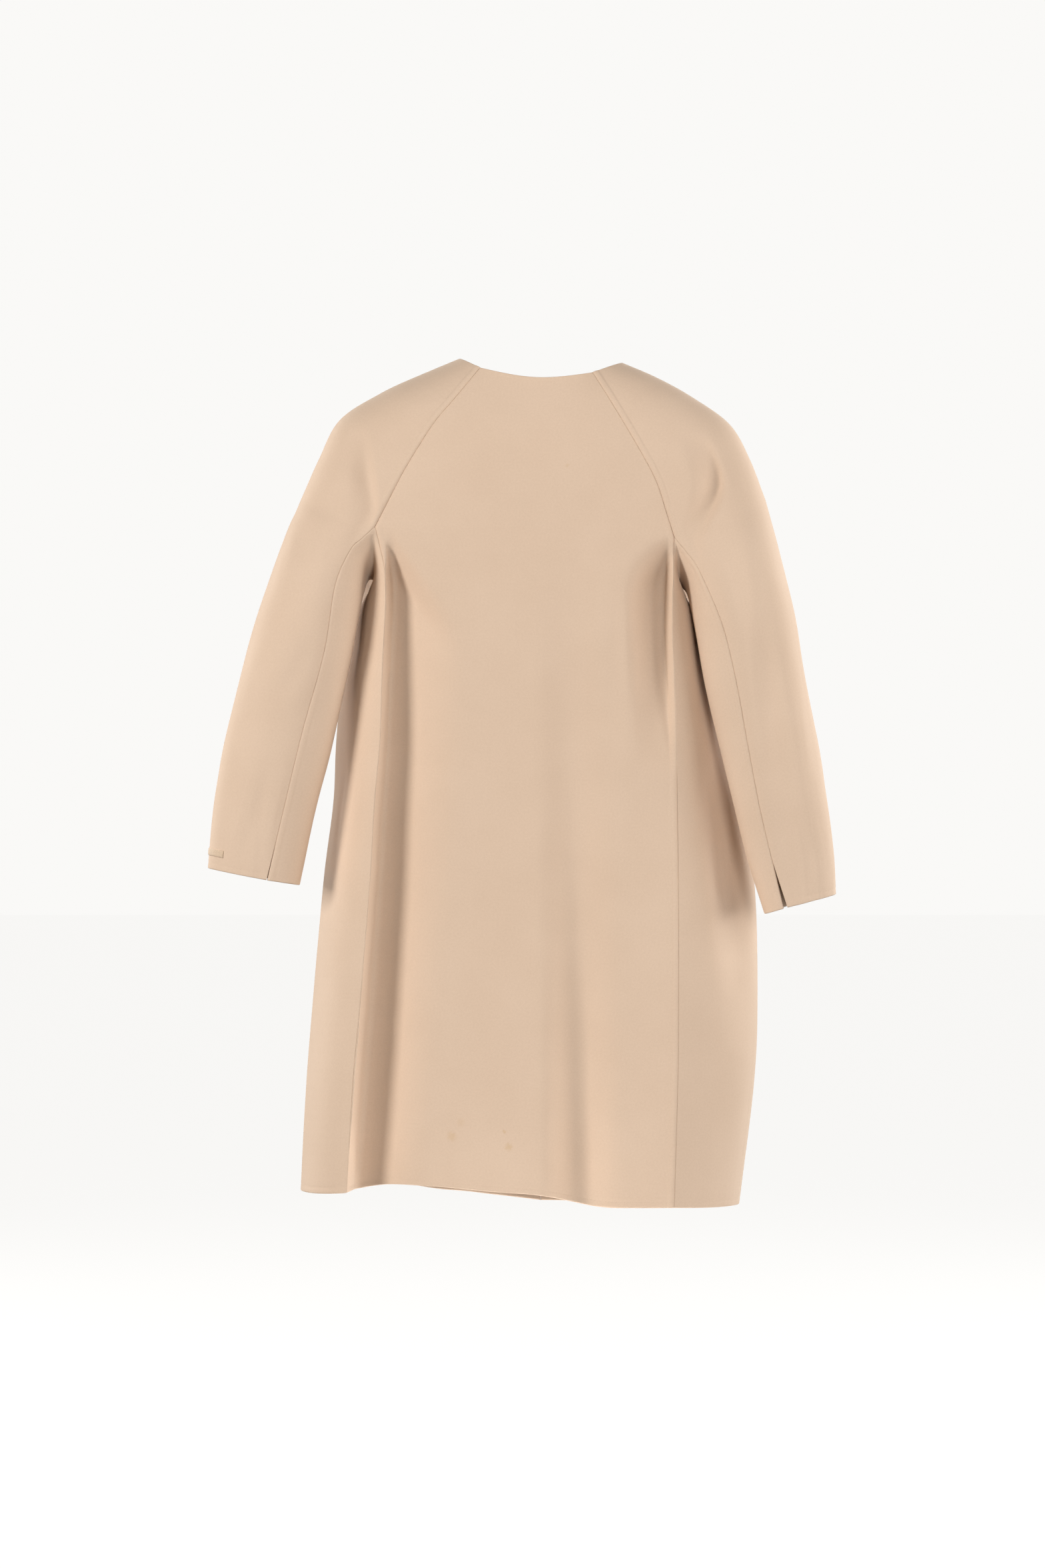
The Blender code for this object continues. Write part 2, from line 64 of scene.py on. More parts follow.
# Raglan cap, from the neck to the underarm: back seam, crest of the shoulder, front seam, and how far
# round, in degrees, the back and the front seam lie from the crest.
Cap = namedtuple("Cap", "back_x back_y back_z crest_x crest_y crest_z front_x front_y front_z "
                 "back_turn front_turn")
CAP = {
    "left": [
        Cap(68, 50, -11, 91.5, 0, 2, 76, -66, -52, 62, 62),
        Cap(97, 63, -47, 136, 1, -16, 104, -82, -92, 66, 66),
        Cap(120, 70, -75, 182, 2, -37, 131, -86, -124, 72, 72),
        Cap(150, 73, -123, 227, 3, -67, 158, -80, -156, 82, 82),
        Cap(167, 73, -155, 250, 4, -111, 178, -64, -180, 94, 96),
        Cap(185, 71, -190, 270, 5, -157, 196, -44, -200, 105, 106),
    ],
    "right": [
        Cap(57, 50, -16, 91.5, 0, -2, 76, -66, -54, 62, 62),
        Cap(74, 60, -44, 128, 1, -18, 98, -82, -97, 66, 66),
        Cap(104, 70, -95, 171, 2, -42, 121, -86, -131, 72, 72),
        Cap(127, 73, -138, 212, 3, -72, 140, -80, -164, 82, 82),
        Cap(139, 73, -174, 235, 4, -112, 153, -64, -190, 96, 96),
        Cap(148, 71, -202, 252, 5, -157, 163, -44, -212, 113, 108),
    ],
}

# Sleeve, from the underarm to the cuff: outer edge, back seam, inner edge and front seam.
Sleeve = namedtuple("Sleeve", "outer_x outer_y outer_z back_x back_y back_z inner_x inner_y inner_z "
                    "front_x front_y front_z")
SLEEVE = {
    "left": [
        Sleeve(270, 5, -157, 185, 71, -190, 188, -4, -247, 196, -44, -200),
        Sleeve(276, 8, -172, 199, 74, -203, 193, 14, -248, 210, -41, -210),
        Sleeve(284, 12, -190, 212, 78, -216, 196.5, 34, -259, 222, -36, -222),
        Sleeve(302, 21, -240, 229, 86, -256, 200.5, 48, -277, 238, -26, -258),
        Sleeve(326, 30, -314, 241, 90, -329, 212, 54, -338, 258, -14, -326),
        Sleeve(349, 36, -404, 266, 88, -421, 232, 54, -430, 282, -4, -416),
        Sleeve(365, 38, -488, 286, 84, -503, 253, 52, -512, 302, 4, -500),
        Sleeve(373, 38, -570, 305, 79, -583, 269, 48, -589, 318, 9, -580),
    ],
    "right": [
        Sleeve(252, 5, -157, 148, 71, -202, 155, -4, -254, 163, -44, -212),
        Sleeve(258, 9, -180, 162, 75, -219, 160, 16, -258, 180, -41, -226),
        Sleeve(266, 14, -211, 176, 82, -240, 165, 38, -268, 194, -35, -244),
        Sleeve(283, 28, -283, 200, 96, -298, 173, 56, -308, 216, -22, -296),
        Sleeve(293, 38, -345, 215, 100, -359, 183, 62, -366, 234, -8, -357),
        Sleeve(308, 45, -424, 229, 98, -436, 200, 63, -441, 252, 4, -434),
        Sleeve(319, 47, -491, 242, 93, -503, 216, 61, -507, 266, 11, -500),
        Sleeve(327, 46, -553, 256, 86, -561, 231, 57, -565, 278, 15, -559),
        Sleeve(330, 44, -599, 271, 80, -614, 249, 53, -621, 289, 18, -609),
    ],
}

# Side of the body, from the underarm to the hem: back seam, outermost line, front seam, and how far
# round, in degrees, the back and the front seam lie from that line.
Side = namedtuple("Side", "back_x back_y back_z side_x side_y side_z front_x front_y front_z "
                  "back_turn front_turn")
SIDE = {
    "left": [
        Side(185, 71, -190, 188, -4, -247, 196, -44, -200, 88, 88),
        Side(180, 69, -212, 190.5, -16, -257, 201, -56, -222, 82, 80),
        Side(175, 69, -236, 199, -27, -266, 203, -68, -246, 76, 70),
        Side(173, 71, -268, 209, -33, -286, 200, -80, -274, 72, 62),
        Side(175, 75, -314, 217, -36, -325, 194, -89, -316, 72, 60),
        Side(177, 79, -360, 226, -37, -366, 189, -96, -362, 72, 60),
        Side(179, 83, -428, 232, -37, -430, 184, -103, -429, 72, 62),
        Side(185, 86, -495, 235, -37, -495, 183, -108, -495, 74, 64),
        Side(190, 89, -585, 246, -37, -585, 184, -112, -586, 76, 66),
        Side(201, 92, -718, 258, -36, -720, 187, -116, -720, 78, 68),
        Side(209, 94, -808, 265, -36, -811, 190, -118, -811, 78, 68),
        Side(216, 95, -929, 272, -36, -934, 195, -119, -930, 78, 68),
    ],
    "right": [
        Side(148, 71, -202, 155, -4, -254, 163, -44, -212, 88, 88),
        Side(147, 68, -222, 157, -16, -264, 168, -56, -234, 80, 80),
        Side(147, 68, -244, 167, -28, -274, 171, -68, -257, 74, 70),
        Side(146, 69, -276, 182, -36, -299, 172, -81, -286, 68, 62),
        Side(146, 73, -314, 189, -40, -327, 169, -90, -322, 68, 60),
        Side(148, 76, -360, 199, -43, -367, 166, -97, -365, 68, 60),
        Side(150, 79, -437, 214, -44, -439, 163, -104, -440, 68, 62),
        Side(151, 77, -510, 231, -43, -511, 162, -109, -512, 60, 64),
        Side(152, 80, -599, 243, -41, -600, 162, -113, -601, 62, 66),
        Side(152, 84, -718, 246, -38, -720, 162, -117, -720, 64, 66),
        Side(151, 86, -808, 242, -37, -811, 161, -119, -811, 64, 66),
        Side(147, 88, -946, 225, -37, -950, 152, -120, -956, 64, 66),
    ],
}

# Middle of the back and of the fronts, from the neck to the hem.
Middle = namedtuple("Middle", "z back_y front_y")
MIDDLE = [
    Middle(-0.018, 0.062, -0.080),
    Middle(-0.100, 0.086, -0.092),
    Middle(-0.200, 0.091, -0.108),
    Middle(-0.400, 0.090, -0.119),
    Middle(-0.600, 0.092, -0.124),
    Middle(-0.800, 0.096, -0.128),
    Middle(-0.960, 0.099, -0.130),
]
BACK_CROWN = 2.6
FRONT_CROWN = 1.8
BACK_NECK_DIP = 0.0093
FRONT_NECK_Z = -0.085
FRONT_UNDERARM_Z = -0.240
FRONT_HEM_Z = -0.954
FRONT_EDGE_GAP = 0.0002

# Back hem: how far it hangs below a straight line between the side seams.
Hem = namedtuple("Hem", "across drop")
BACK_HEM = [Hem(0.00, 0.000), Hem(0.12, -0.010), Hem(0.25, -0.012), Hem(0.45, -0.009),
            Hem(0.60, -0.007), Hem(0.75, 0.003), Hem(0.88, 0.002), Hem(1.00, 0.000)]
HEM_FADE = 0.20

# Largest folds, pressed into the solids too: a trough from its top to its end, with its depth at the
# top, half-way and at the end, its reach to the coat's left and right of the line of the trough, the length
# that it sinks in over, the slant of its top, how broad its floor is, and its steep side: 1 left, -1 right.
LEAST_REACH = 0.004
Fold = namedtuple("Fold", "top_x top_z mid_x end_x end_z top_depth mid_depth end_depth "
                  "reach_left reach_right fade slant floor steep", defaults=(0.020, 0.0, 1.0, 0))
FOLDS = {
    "back": [
        Fold(0.159, -0.204, 0.177, 0.204, -0.935, 0.024, 0.033, 0.036, 0.013, 0.085, 0.050, 1.2, 1.0, 1),
        Fold(-0.134, -0.202, -0.135, -0.142, -0.470, 0.025, 0.020, 0.000, 0.044, 0.012, 0.050, -0.6, 1.2, -1),
        Fold(-0.028, -0.120, -0.038, -0.042, -0.960, 0.000, 0.013, 0.026, 0.046, 0.055),
    ],
    "front_left": [
        Fold(0.098, -0.240, 0.106, 0.116, -0.960, 0.000, 0.010, 0.016, 0.040, 0.040),
    ],
    "front_right": [
        Fold(-0.080, -0.220, -0.090, -0.094, -0.960, 0.000, 0.008, 0.014, 0.036, 0.036),
    ],
    "sleeve_left": [
        Fold(0.204, -0.070, 0.194, 0.188, -0.190, 0.000, 0.010, 0.004, 0.032, 0.013),
    ],
    "sleeve_right": [
        Fold(-0.174, -0.080, -0.194, -0.168, -0.205, 0.000, 0.013, 0.003, 0.030, 0.014),
        Fold(-0.243, -0.180, -0.252, -0.282, -0.570, 0.000, 0.008, 0.002, 0.024, 0.028),
    ],
    "side_left": [],
    "side_right": [
        Fold(-0.184, -0.420, -0.214, -0.232, -0.780, 0.000, 0.018, 0.000, 0.034, 0.040),
    ],
}

# Finer creases, in millimetres, by the face that shows them: each runs through three points, where "across"
# is X on the back and front faces and Y on the outer faces of the sleeves and sides. It starts from nothing,
# and its depth is given half-way and at its end.
Crease = namedtuple("Crease", "across_0 z_0 across_1 z_1 across_2 z_2 mid_depth end_depth "
                    "reach_left reach_right")
CREASES = {
    "back": [
        # back panel
        Crease(-82, -235, -83, -340, -84, -470, 1.6, 0.0, 16, 13),
        Crease(46, -330, 50, -560, 44, -800, 0.9, 0.0, 34, 30),
        Crease(-96, -600, -100, -780, -96, -960, 1.4, 2.0, 26, 30),
        Crease(96, -560, 104, -760, 112, -960, 1.2, 1.8, 26, 24),
        Crease(22, -60, 8, -150, -14, -260, 1.0, 0.0, 26, 22),
        # left sleeve
        Crease(264, -170, 266, -222, 276, -280, 2.2, 0.0, 16, 16),
        Crease(300, -440, 314, -500, 330, -556, 2.0, 0.6, 11, 13),
        Crease(306, -480, 312, -530, 314, -580, 1.2, 1.0, 8, 9),
        Crease(250, -300, 270, -350, 300, -390, 1.3, 0.0, 14, 14),
        # right sleeve
        Crease(-206, -215, -222, -268, -228, -320, 2.0, 0.0, 12, 14),
        Crease(-300, -330, -304, -420, -314, -500, 1.4, 0.0, 14, 12),
        Crease(-284, -500, -296, -550, -302, -610, 1.6, 1.0, 10, 10),
    ],
    "front": [
        Crease(52, -300, 56, -560, 60, -960, 1.6, 2.4, 26, 26),
        Crease(-46, -280, -52, -600, -50, -960, 1.5, 2.2, 24, 26),
        Crease(120, -150, 150, -200, 176, -262, 2.6, 0.0, 16, 18),
        Crease(-112, -160, -138, -214, -156, -270, 2.4, 0.0, 16, 18),
        Crease(150, -420, 158, -640, 166, -960, 1.8, 2.6, 22, 20),
        Crease(-130, -430, -134, -660, -132, -960, 1.8, 2.4, 20, 22),
        Crease(250, -250, 276, -330, 310, -400, 2.2, 0.0, 16, 16),
        Crease(-232, -270, -258, -350, -290, -420, 2.2, 0.0, 16, 16),
    ],
    "left": [
        Crease(10, -230, 26, -330, 40, -430, 1.8, 0.0, 16, 16),
        Crease(40, -450, 30, -510, 34, -572, 1.4, 0.8, 12, 12),
        Crease(-50, -520, -44, -700, -40, -940, 2.2, 3.0, 26, 24),
    ],
    "right": [
        Crease(18, -240, 34, -340, 48, -440, 1.8, 0.0, 16, 16),
        Crease(50, -460, 40, -530, 44, -600, 1.4, 0.8, 12, 12),
        Crease(-60, -540, -50, -720, -46, -950, 2.0, 2.8, 26, 24),
    ],
}
CREASE_SAMPLES = 41
# Height of the lip beside a crease, as a share of its depth. The lip ends at twice the crease's reach.
LIP_SHARE = 0.22
# Axis and side that each face looks to, and how squarely a point has to face there to take its creases.
FACES = {"back": (1, 1.0), "front": (1, -1.0), "left": (0, 1.0), "right": (0, -1.0)}
FACING = (0.1, 0.55)

# Slight unevenness of the cloth: its height in metres, and its waves for each metre across and down.
Uneven = namedtuple("Uneven", "height across down")
UNEVEN = [Uneven(0.0011, 8.0, 3.0), Uneven(0.0004, 22.0, 11.0)]

# Columns and rows of the walls, and where they crowd at seams and edges.
EDGE_STEPS = np.array([0.0, 0.0005, 0.0011, 0.0020, 0.0036, 0.0054, 0.0064, 0.0074, 0.0088, 0.0115])
EDGE_COUNT = len(EDGE_STEPS)
BACK_COLUMNS = 112
FRONT_COLUMNS = 58
SLEEVE_COLUMNS = 92
SIDE_COLUMNS = 62
ARC_STEPS = 60
LINE_SAMPLES = 2000
NARROW_SECTION = 6.0 * EDGE_STEPS[-1]
# Row, counted from a panel's end, where its outward side is told.
FACING_ROW = -20

# How each table is read: the line that its rows are spaced evenly along, how many steps it has, and whether
# they crowd at its start or at its end, where the cloth has an edge.
Reading = namedtuple("Reading", "table guide steps crowd_start crowd_end")
READ_CAP = Reading(CAP, "back", 52, True, False)
READ_SLEEVE = Reading(SLEEVE, "outer", 96, False, True)
READ_BODY = Reading(SIDE, "back", 150, False, True)
CAP_ROWS = EDGE_COUNT + READ_CAP.steps

# Where folds fade in beside the seams, as shares of the way from a seam to the crest.
SLEEVE_FOLD_FADE = 0.11
SIDE_FOLD_FADE = 0.17

# Cuffs: the vents at the back seams, and the strip round the left cuff. It reaches by shares of the way from
# the outer edge to the back and to the front seam, and its edges roll down by a share of its thickness.
VENT_LENGTH = 0.045
VENT_OPEN = {"left": 0.001, "right": 0.005}
TAB_ABOVE_CUFF = 0.015
TAB_WIDTH = 0.008
TAB_THICK = 0.001
TAB_BACK = 4.0 / 9.0
TAB_FRONT = 2.0 / 9.0
TAB_ROWS = 9
TAB_COLUMNS = 49
TAB_ROLL = 0.6

# Seams: how the wall turns over them, and where a welt rises in metres from the seam, falls in shares of its
# width and starts in shares of the raglan seam; then how strong welts are and how soft the lines are.
SHARPEST_MITRE = 0.4
MITRE_REACH = 0.006
WELT_RISE = (0.0004, 0.0018)
WELT_FALL = (0.8, 1.15)
WELT_START = (0.9, 1.1)
UNDER_SLEEVE_WELT = 0.6
SEWN_WELT = 0.3
HEM_LINE_WIDTH = 0.0009
SEAM_FADE = 0.0008

# A panel as it is cut, and as it is sewn: seams, distances and welts are those of its two long sides, free
# rows are the distances from its two ends.
Cut = namedtuple("Cut", "grid seams distances free_rows welt place")
Panel = namedtuple("Panel", "points normals mitre uv distances free_rows welt place")

# Faint marks, four low on the back and one slub high on it: place and radius in metres, and strength.
Stain = namedtuple("Stain", "x y z radius strength")
STAINS = [Stain(0.0992, 0.0983, -0.8658, 0.0075, 0.36), Stain(0.0366, 0.0976, -0.8776, 0.0060, 0.45),
          Stain(0.0417, 0.0974, -0.8607, 0.0030, 0.50), Stain(0.0896, 0.0979, -0.8503, 0.0060, 0.20),
          Stain(-0.0285, 0.0862, -0.1229, 0.0040, 0.30)]
STAIN_COLOUR = (0.86, 0.75, 0.53, 1.0)
STAIN_CORE = 0.2
STAIN_RAGGED = 0.002

# Noise in the fibres: waves for each metre, detail, roughness and distortion.
Grain = namedtuple("Grain", "scale detail rough distortion", defaults=(0.0,))
MOTTLE = Grain(11.0, 3.0, 0.55)
HEATHER = Grain(420.0, 3.0, 0.75)
FLECK = Grain(1500.0, 2.0, 0.6)
NAP = Grain(900.0, 4.0, 0.7, 0.4)
STAIN_EDGE = Grain(350.0, 2.0, 0.6)
STRIP_YARN = Grain(900.0, 3.0, 0.7)
THREAD_YARN = Grain(2500.0, 3.0, 0.7)

# Shades of the wool: a grain, the range of it that counts, and its share of the way from light to deep.
Shade = namedtuple("Shade", "grain low high share")
BODY_SHADES = [Shade(MOTTLE, 0.25, 0.75, 0.30)]
FIBRE_SHADES = [Shade(HEATHER, 0.25, 0.75, 0.42), Shade(FLECK, 0.3, 0.7, 0.28)]
# Painted shade in the seam creases: the seam depth where it starts, and its share of the colour at the
# deepest.
PAINTED_SEAM_SHADE_START = 0.15
PAINTED_SEAM_SHADE_SHARE = 0.05
# Deeper yarns of the strip and the thread: the range of the grain, and the share of the colour they keep.
YARN_SPAN = (0.3, 0.7)
YARN_DEEP = 0.82
# Scale of a wave texture that gives one wave for each metre.
ONE_WAVE = 2.0 * np.pi / 20.0
WEAVE_SHARE = 0.45
# Strength and depth of the fine relief, the range of the grain that the roughness follows, and its own range.
WOOL_RELIEF = (0.35, 0.0004)
YARN_RELIEF = (0.4, 0.0003)
ROUGH_SPAN = (0.2, 0.8)
WOOL_ROUGH = (0.84, 0.95)
YARN_ROUGH = (0.75, 0.9)

# Lamps, aimed at the coat at the height of the view's middle, with their shares of the key power.
WHITE = (1.0, 1.0, 1.0)
WARM = (1.0, 0.995, 0.985)
Lamp = namedtuple("Lamp", "name spot size share colour")
LAMPS = [
    Lamp("key_left", (3.5, 1.95, 0.3), 1.2, 1.9, WARM),
    Lamp("key_back", (-1.2, 4.7, 0.0), 1.6, 1.55, WHITE),
    Lamp("side_right", (-3.4, 1.2, 0.2), 2.5, 1.3, WHITE),
    Lamp("top", (0.0, 1.6, 3.4), 1.5, 0.12, WHITE),
    Lamp("under", (0.0, 0.05, -1.33), 0.5, 0.05, WHITE),
    Lamp("front_left", (2.8, -2.9, 0.5), 2.0, 2.0, WARM),
    Lamp("front_right", (-2.8, -2.9, 0.5), 2.0, 2.0, WHITE),
]
FILL_COLOUR = (1.0, 0.985, 0.965, 1.0)
# Shares of the backdrop's colour that the floor sends back as light, and shows to the camera by itself.
FLOOR_BOUNCE = 0.04
FLOOR_SHINE = 0.965

# Kinds of setting that repeat.
Length = functools.partial(bpy.props.FloatProperty, unit="LENGTH")
Colour = functools.partial(bpy.props.FloatVectorProperty, subtype="COLOR", size=4, min=0.0, max=1.0)


class CoatCloth(bpy.types.PropertyGroup):
    """Sizes and colours of the cloth and its sewing."""
    thickness: Length(name="Cloth thickness", description="Both faces of the wool together", default=0.0025)
    seam_gap: Length(name="Seam gap", description="Gap between two panels at a seam", default=0.0001)
    seam_roll: Length(name="Seam roll", description="Radius that the cloth turns down with at a seam",
                      default=0.0003)
    edge_roll: Length(name="Edge roll", description="Radius of the hem, cuff, neck and front edges",
                      default=0.0011)
    welt_width: Length(name="Welt width", description="Width of the felled turning beside a seam",
                       default=0.0068)
    welt_height: Length(name="Welt height", description="How far the turning stands up", default=0.0008)
    hem_turn: Length(name="Hem turn", description="Height of the line above the hem and the cuffs",
                     default=0.0068)
    hem_line: Length(name="Hem line depth", description="Depth of the line above the hem", default=0.0002)
    wool_light: Colour(name="Light wool", description="Paler fibres of the wool",
                       default=(0.720, 0.542, 0.404, 1.0))
    wool_deep: Colour(name="Deep wool", description="Deeper fibres of the wool",
                      default=(0.640, 0.469, 0.339, 1.0))
    # Painted shade: colour that the wool is mixed towards in the crease of a seam, standing in for the shadow
    # there.
    painted_seam_shade: Colour(name="Seam shade", description="Wool in the crease of a seam",
                       default=(0.44, 0.30, 0.20, 1.0))
    strip_colour: Colour(name="Cuff strip", description="Wool of the strip on the left cuff",
                         default=(0.70, 0.52, 0.36, 1.0))
    thread_colour: Colour(name="Thread", description="Sewing thread", default=(0.68, 0.50, 0.36, 1.0))
    weave_waves: bpy.props.FloatProperty(
        name="Weave waves", description="Faint waves of the weave in one metre", default=95.0)
    stitch_pitch: Length(name="Stitch pitch", description="From one stitch to the next", default=0.0045)
    stitch_length: Length(name="Stitch length", description="Thread that shows in one stitch", default=0.0013)
    stitch_thick: Length(name="Stitch thickness", description="Thickness of the thread", default=0.0003)


class CoatStage(bpy.types.PropertyGroup):
    """Floor, light and camera."""
    floor_z: Length(name="Floor height", description="Height of the floor", default=-1.36)
    floor_size: Length(name="Floor size", description="Width of the floor", default=60.0)
    backdrop: Colour(name="Backdrop", description="Colour behind the coat",
                     default=(0.955, 0.947, 0.930, 1.0))
    fill: bpy.props.FloatProperty(
        name="Fill", description="Strength of the even light from all round", default=0.11)
    key_power: bpy.props.FloatProperty(
        name="Key power", description="Power that the lamps take their shares of", default=64.0, unit="POWER")
    camera_distance: Length(name="Camera distance", description="How far behind the origin the camera stands",
                            default=6.0)
    frame_height: Length(name="Frame height", description="Height of the view at the coat", default=1.764)
    frame_x: Length(name="Frame centre X", description="Middle of the view across", default=0.021)
    frame_z: Length(name="Frame centre Z", description="Middle of the view in height", default=-0.476)


def smooth(low, high, value):
    """Soft step from 0 at low to 1 at high."""
    t = np.clip((value - low) / (high - low), 0.0, 1.0)
    return t * t * (3.0 - 2.0 * t)


def blend(t, start, start_slope, end, end_slope):
    """Smooth curve from a start to an end with a slope at each, for t from 0 to 1."""
    leaving = start * (2 * t**3 - 3 * t**2 + 1) + start_slope * (t**3 - 2 * t**2 + t)
    return leaving + (end * (3 * t**2 - 2 * t**3) + end_slope * (t**3 - t**2))


def along(table, rows):
    """Read a table at fractional row numbers, on a smooth curve through all its rows."""
    values = np.array(table, dtype=float)
    slopes = np.gradient(values, axis=0)
    rows = np.asarray(rows, dtype=float)
    low = np.clip(np.floor(rows).astype(int), 0, len(values) - 2)
    return blend((rows - low)[:, None], values[low], slopes[low], values[low + 1], slopes[low + 1])


def at_height(z, column):
    """Depth of the middle of the coat at height z."""
    heights = np.array([-row.z for row in MIDDLE])
    depths = np.array([getattr(row, column) for row in MIDDLE])
    slopes = np.gradient(depths, heights)
    down = np.clip(-np.asarray(z), heights[0], heights[-1])
    low = np.clip(np.searchsorted(heights, down, side="right") - 1, 0, len(heights) - 2)
    wide = heights[low + 1] - heights[low]
    return blend((down - heights[low]) / wide, depths[low], slopes[low] * wide, depths[low + 1],
                 slopes[low + 1] * wide)


def columns(table, rows, *names):
    """Named columns of a table at fractional row numbers."""
    fields = table[0]._fields
    return along(table, rows)[:, [fields.index(name) for name in names]]


def line(table, rows, side, place):
    """Points of one named line of a table, on the coat's own left or right."""
    points = TABLE_UNIT * columns(table, rows, place + "_x", place + "_y", place + "_z")
    points[:, 0] *= SIGN[side]
    return points


def run(points):
    """Distance of every point from the first one along a line."""
    return np.concatenate([[0.0], np.cumsum(np.linalg.norm(np.diff(points, axis=0), axis=1))])


def both_runs(points):
    """Distances of every point from the first and from the last one along a line."""
    lengths = run(points)
    return lengths, lengths[-1] - lengths


def even_rows(reading, side):
    """Row numbers at even lengths along a table's guide."""
    table = reading.table[side]
    fine = np.linspace(0.0, len(table) - 1.0, LINE_SAMPLES)
    lengths = run(line(table, fine, side, reading.guide))
    start = EDGE_STEPS if reading.crowd_start else np.zeros(1)
    end = lengths[-1] - EDGE_STEPS[::-1] if reading.crowd_end else lengths[-1:]
    middle = np.linspace(start[-1], end[0], reading.steps + 1)[1:-1]
    return np.interp(np.concatenate([start, middle, end]), lengths, fine)


def lines(reading, side, *places):
    """Named lines of a table at its even rows."""
    rows = even_rows(reading, side)
    return [line(reading.table[side], rows, side, place) for place in places]


def whole_seam(side, face):
    """Seam of the back or of a front, from the neck along the raglan cap and down the side to the hem."""
    return np.concatenate([lines(READ_CAP, side, face)[0], lines(READ_BODY, side, face)[0][1:]])


def arch(edge, crest, turn, steps):
    """Elliptical arc from a seam point to a crest, where the cloth lies along Y; turn is in degrees."""
    angles = np.radians(turn) * np.linspace(1.0, 0.0, steps + 1)
    middle = crest + (edge - crest) / (1.0 - np.cos(angles[0]))
    middle[1] = crest[1]
    points = middle + np.outer(np.cos(angles), crest - middle)
    points[:, 1] += (edge[1] - crest[1]) * np.sin(angles) / np.sin(angles[0])
    points[0] = edge
    return points


def sleeve_turn(outer, back, front, inner):
    """How far round from the outer edge the two seams lie, from where they fall between the two edges."""
    across = []
    for seam in (back, front):
        to_seam = np.hypot(*(outer - seam)[[0, 2]])
        past_seam = np.hypot(*(seam - inner)[[0, 2]])
        across.append(to_seam / (to_seam + past_seam))
    return np.degrees(np.arccos(1.0 - 2.0 * np.array(across)))


def spread(length, drawn, count):
    """Distances of a section's columns, crowded at both ends; drawn is how far each end is drawn back."""
    steps = EDGE_STEPS * min(1.0, length / NARROW_SECTION)
    first = drawn[0] + steps
    last = length - drawn[1] - steps[::-1]
    return np.concatenate([first, np.linspace(first[-1], last[0], count + 2)[1:-1], last])


def section(back, crest, front, turn, drawn, count):
    """Columns of one section round a crest: points, place from 0 at the back seam to 2 at the front
    one, the distances from the two ends of the cloth, and the three points that it runs through."""
    curve = np.concatenate([arch(back, crest, turn[0], ARC_STEPS),
                            arch(front, crest, turn[1], ARC_STEPS)[::-1][1:]])
    lengths = run(curve)
    at = spread(lengths[-1], drawn, count)
    points = np.stack([np.interp(at, lengths, curve[:, k]) for k in range(3)], axis=1)
    place = np.interp(at, lengths, np.linspace(0.0, 2.0, len(curve)))
    return points, place, at - drawn[0], lengths[-1] - drawn[1] - at, back, crest, front


def table_sections(reading, side, crest, gap, count):
    """Sections of a raglan cap or of a side of the body, from back seam to front seam round its crest."""
    turns = columns(reading.table[side], even_rows(reading, side), "back_turn", "front_turn")
    rows = zip(*lines(reading, side, "back", crest, "front"), turns)
    return [section(*points, turn, (gap, gap), count) for *points, turn in rows]


def sleeve_sections(side, gap, under):
    """Sections of a sleeve below the underarm: round its outer edge, or under it round its inner edge."""
    edges = lines(READ_SLEEVE, side, "outer", "back", "front", "inner")
    vents = 0.5 * VENT_OPEN[side] * np.clip(1.0 - both_runs(edges[0])[1] / VENT_LENGTH, 0.0, 1.0)
    parts = []
    for outer, back, front, inner, vent in list(zip(*edges, vents))[1:]:
        turn = sleeve_turn(outer, back, front, inner)
        round_edge = (inner, front, 180.0 - turn) if under else (outer, front, turn)
        parts.append(section(back, *round_edge, (gap + vent, gap), SIDE_COLUMNS if under else SLEEVE_COLUMNS))
    return parts


def press_folds(name, grid, facing, bounded):
    """Press a piece's folds into its points along Y, where it faces front or back; bounded keeps them
    within the piece's two seams."""
    for fold in FOLDS[name]:
        part = (fold.top_z - grid[..., 2]) / (fold.top_z - fold.end_z)
        inside = 2.0 * np.clip(part, 0.0, 1.0).ravel()
        path = along([[fold.top_x], [fold.mid_x], [fold.end_x]], inside).reshape(part.shape)
        depth = along([[fold.top_depth], [fold.mid_depth], [fold.end_depth]], inside).reshape(part.shape)
        depth = np.where((part > 1.0) & (fold.end_depth == 0.0), 0.0, depth)
        offset = grid[..., 0] - path
        sunk = smooth(0.0, fold.fade, fold.top_z + fold.slant * offset - grid[..., 2])
        reach_left, reach_right = fold.reach_left, fold.reach_right
        if bounded:
            ends = grid[:, [0, -1], 0]
            reach_left = np.clip(ends.max(axis=1, keepdims=True) - path, LEAST_REACH, reach_left)
            reach_right = np.clip(path - ends.min(axis=1, keepdims=True), LEAST_REACH, reach_right)
        across = np.clip(np.where(offset > 0.0, offset / reach_left, -offset / reach_right), 0.0, 1.0)
        trough = np.cos(0.5 * np.pi * across ** fold.floor) ** 2
        trough = np.where(offset * fold.steep > 0.0, np.cos(0.5 * np.pi * across), trough)
        grid[..., 1] -= facing * depth * sunk * trough


def sleeve_panel(side, gap):
    """Top sleeve: the raglan cap from the neck, then the outer part of the sleeve to the cuff."""
    parts = table_sections(READ_CAP, side, "crest", gap, SLEEVE_COLUMNS) + sleeve_sections(side, gap, False)
    grid, place, first, last, back, crest, front = (np.array(part) for part in zip(*parts))
    facing = np.cos(0.5 * np.pi * np.clip(place, 0.0, 1.0)) * smooth(0.0, SLEEVE_FOLD_FADE, place)
    press_folds("sleeve_" + side, grid, facing, False)
    welt = (np.arange(len(crest)) < CAP_ROWS).astype(float)
    return Cut(grid, (back, front), (first, last), both_runs(crest), (welt, welt), place)


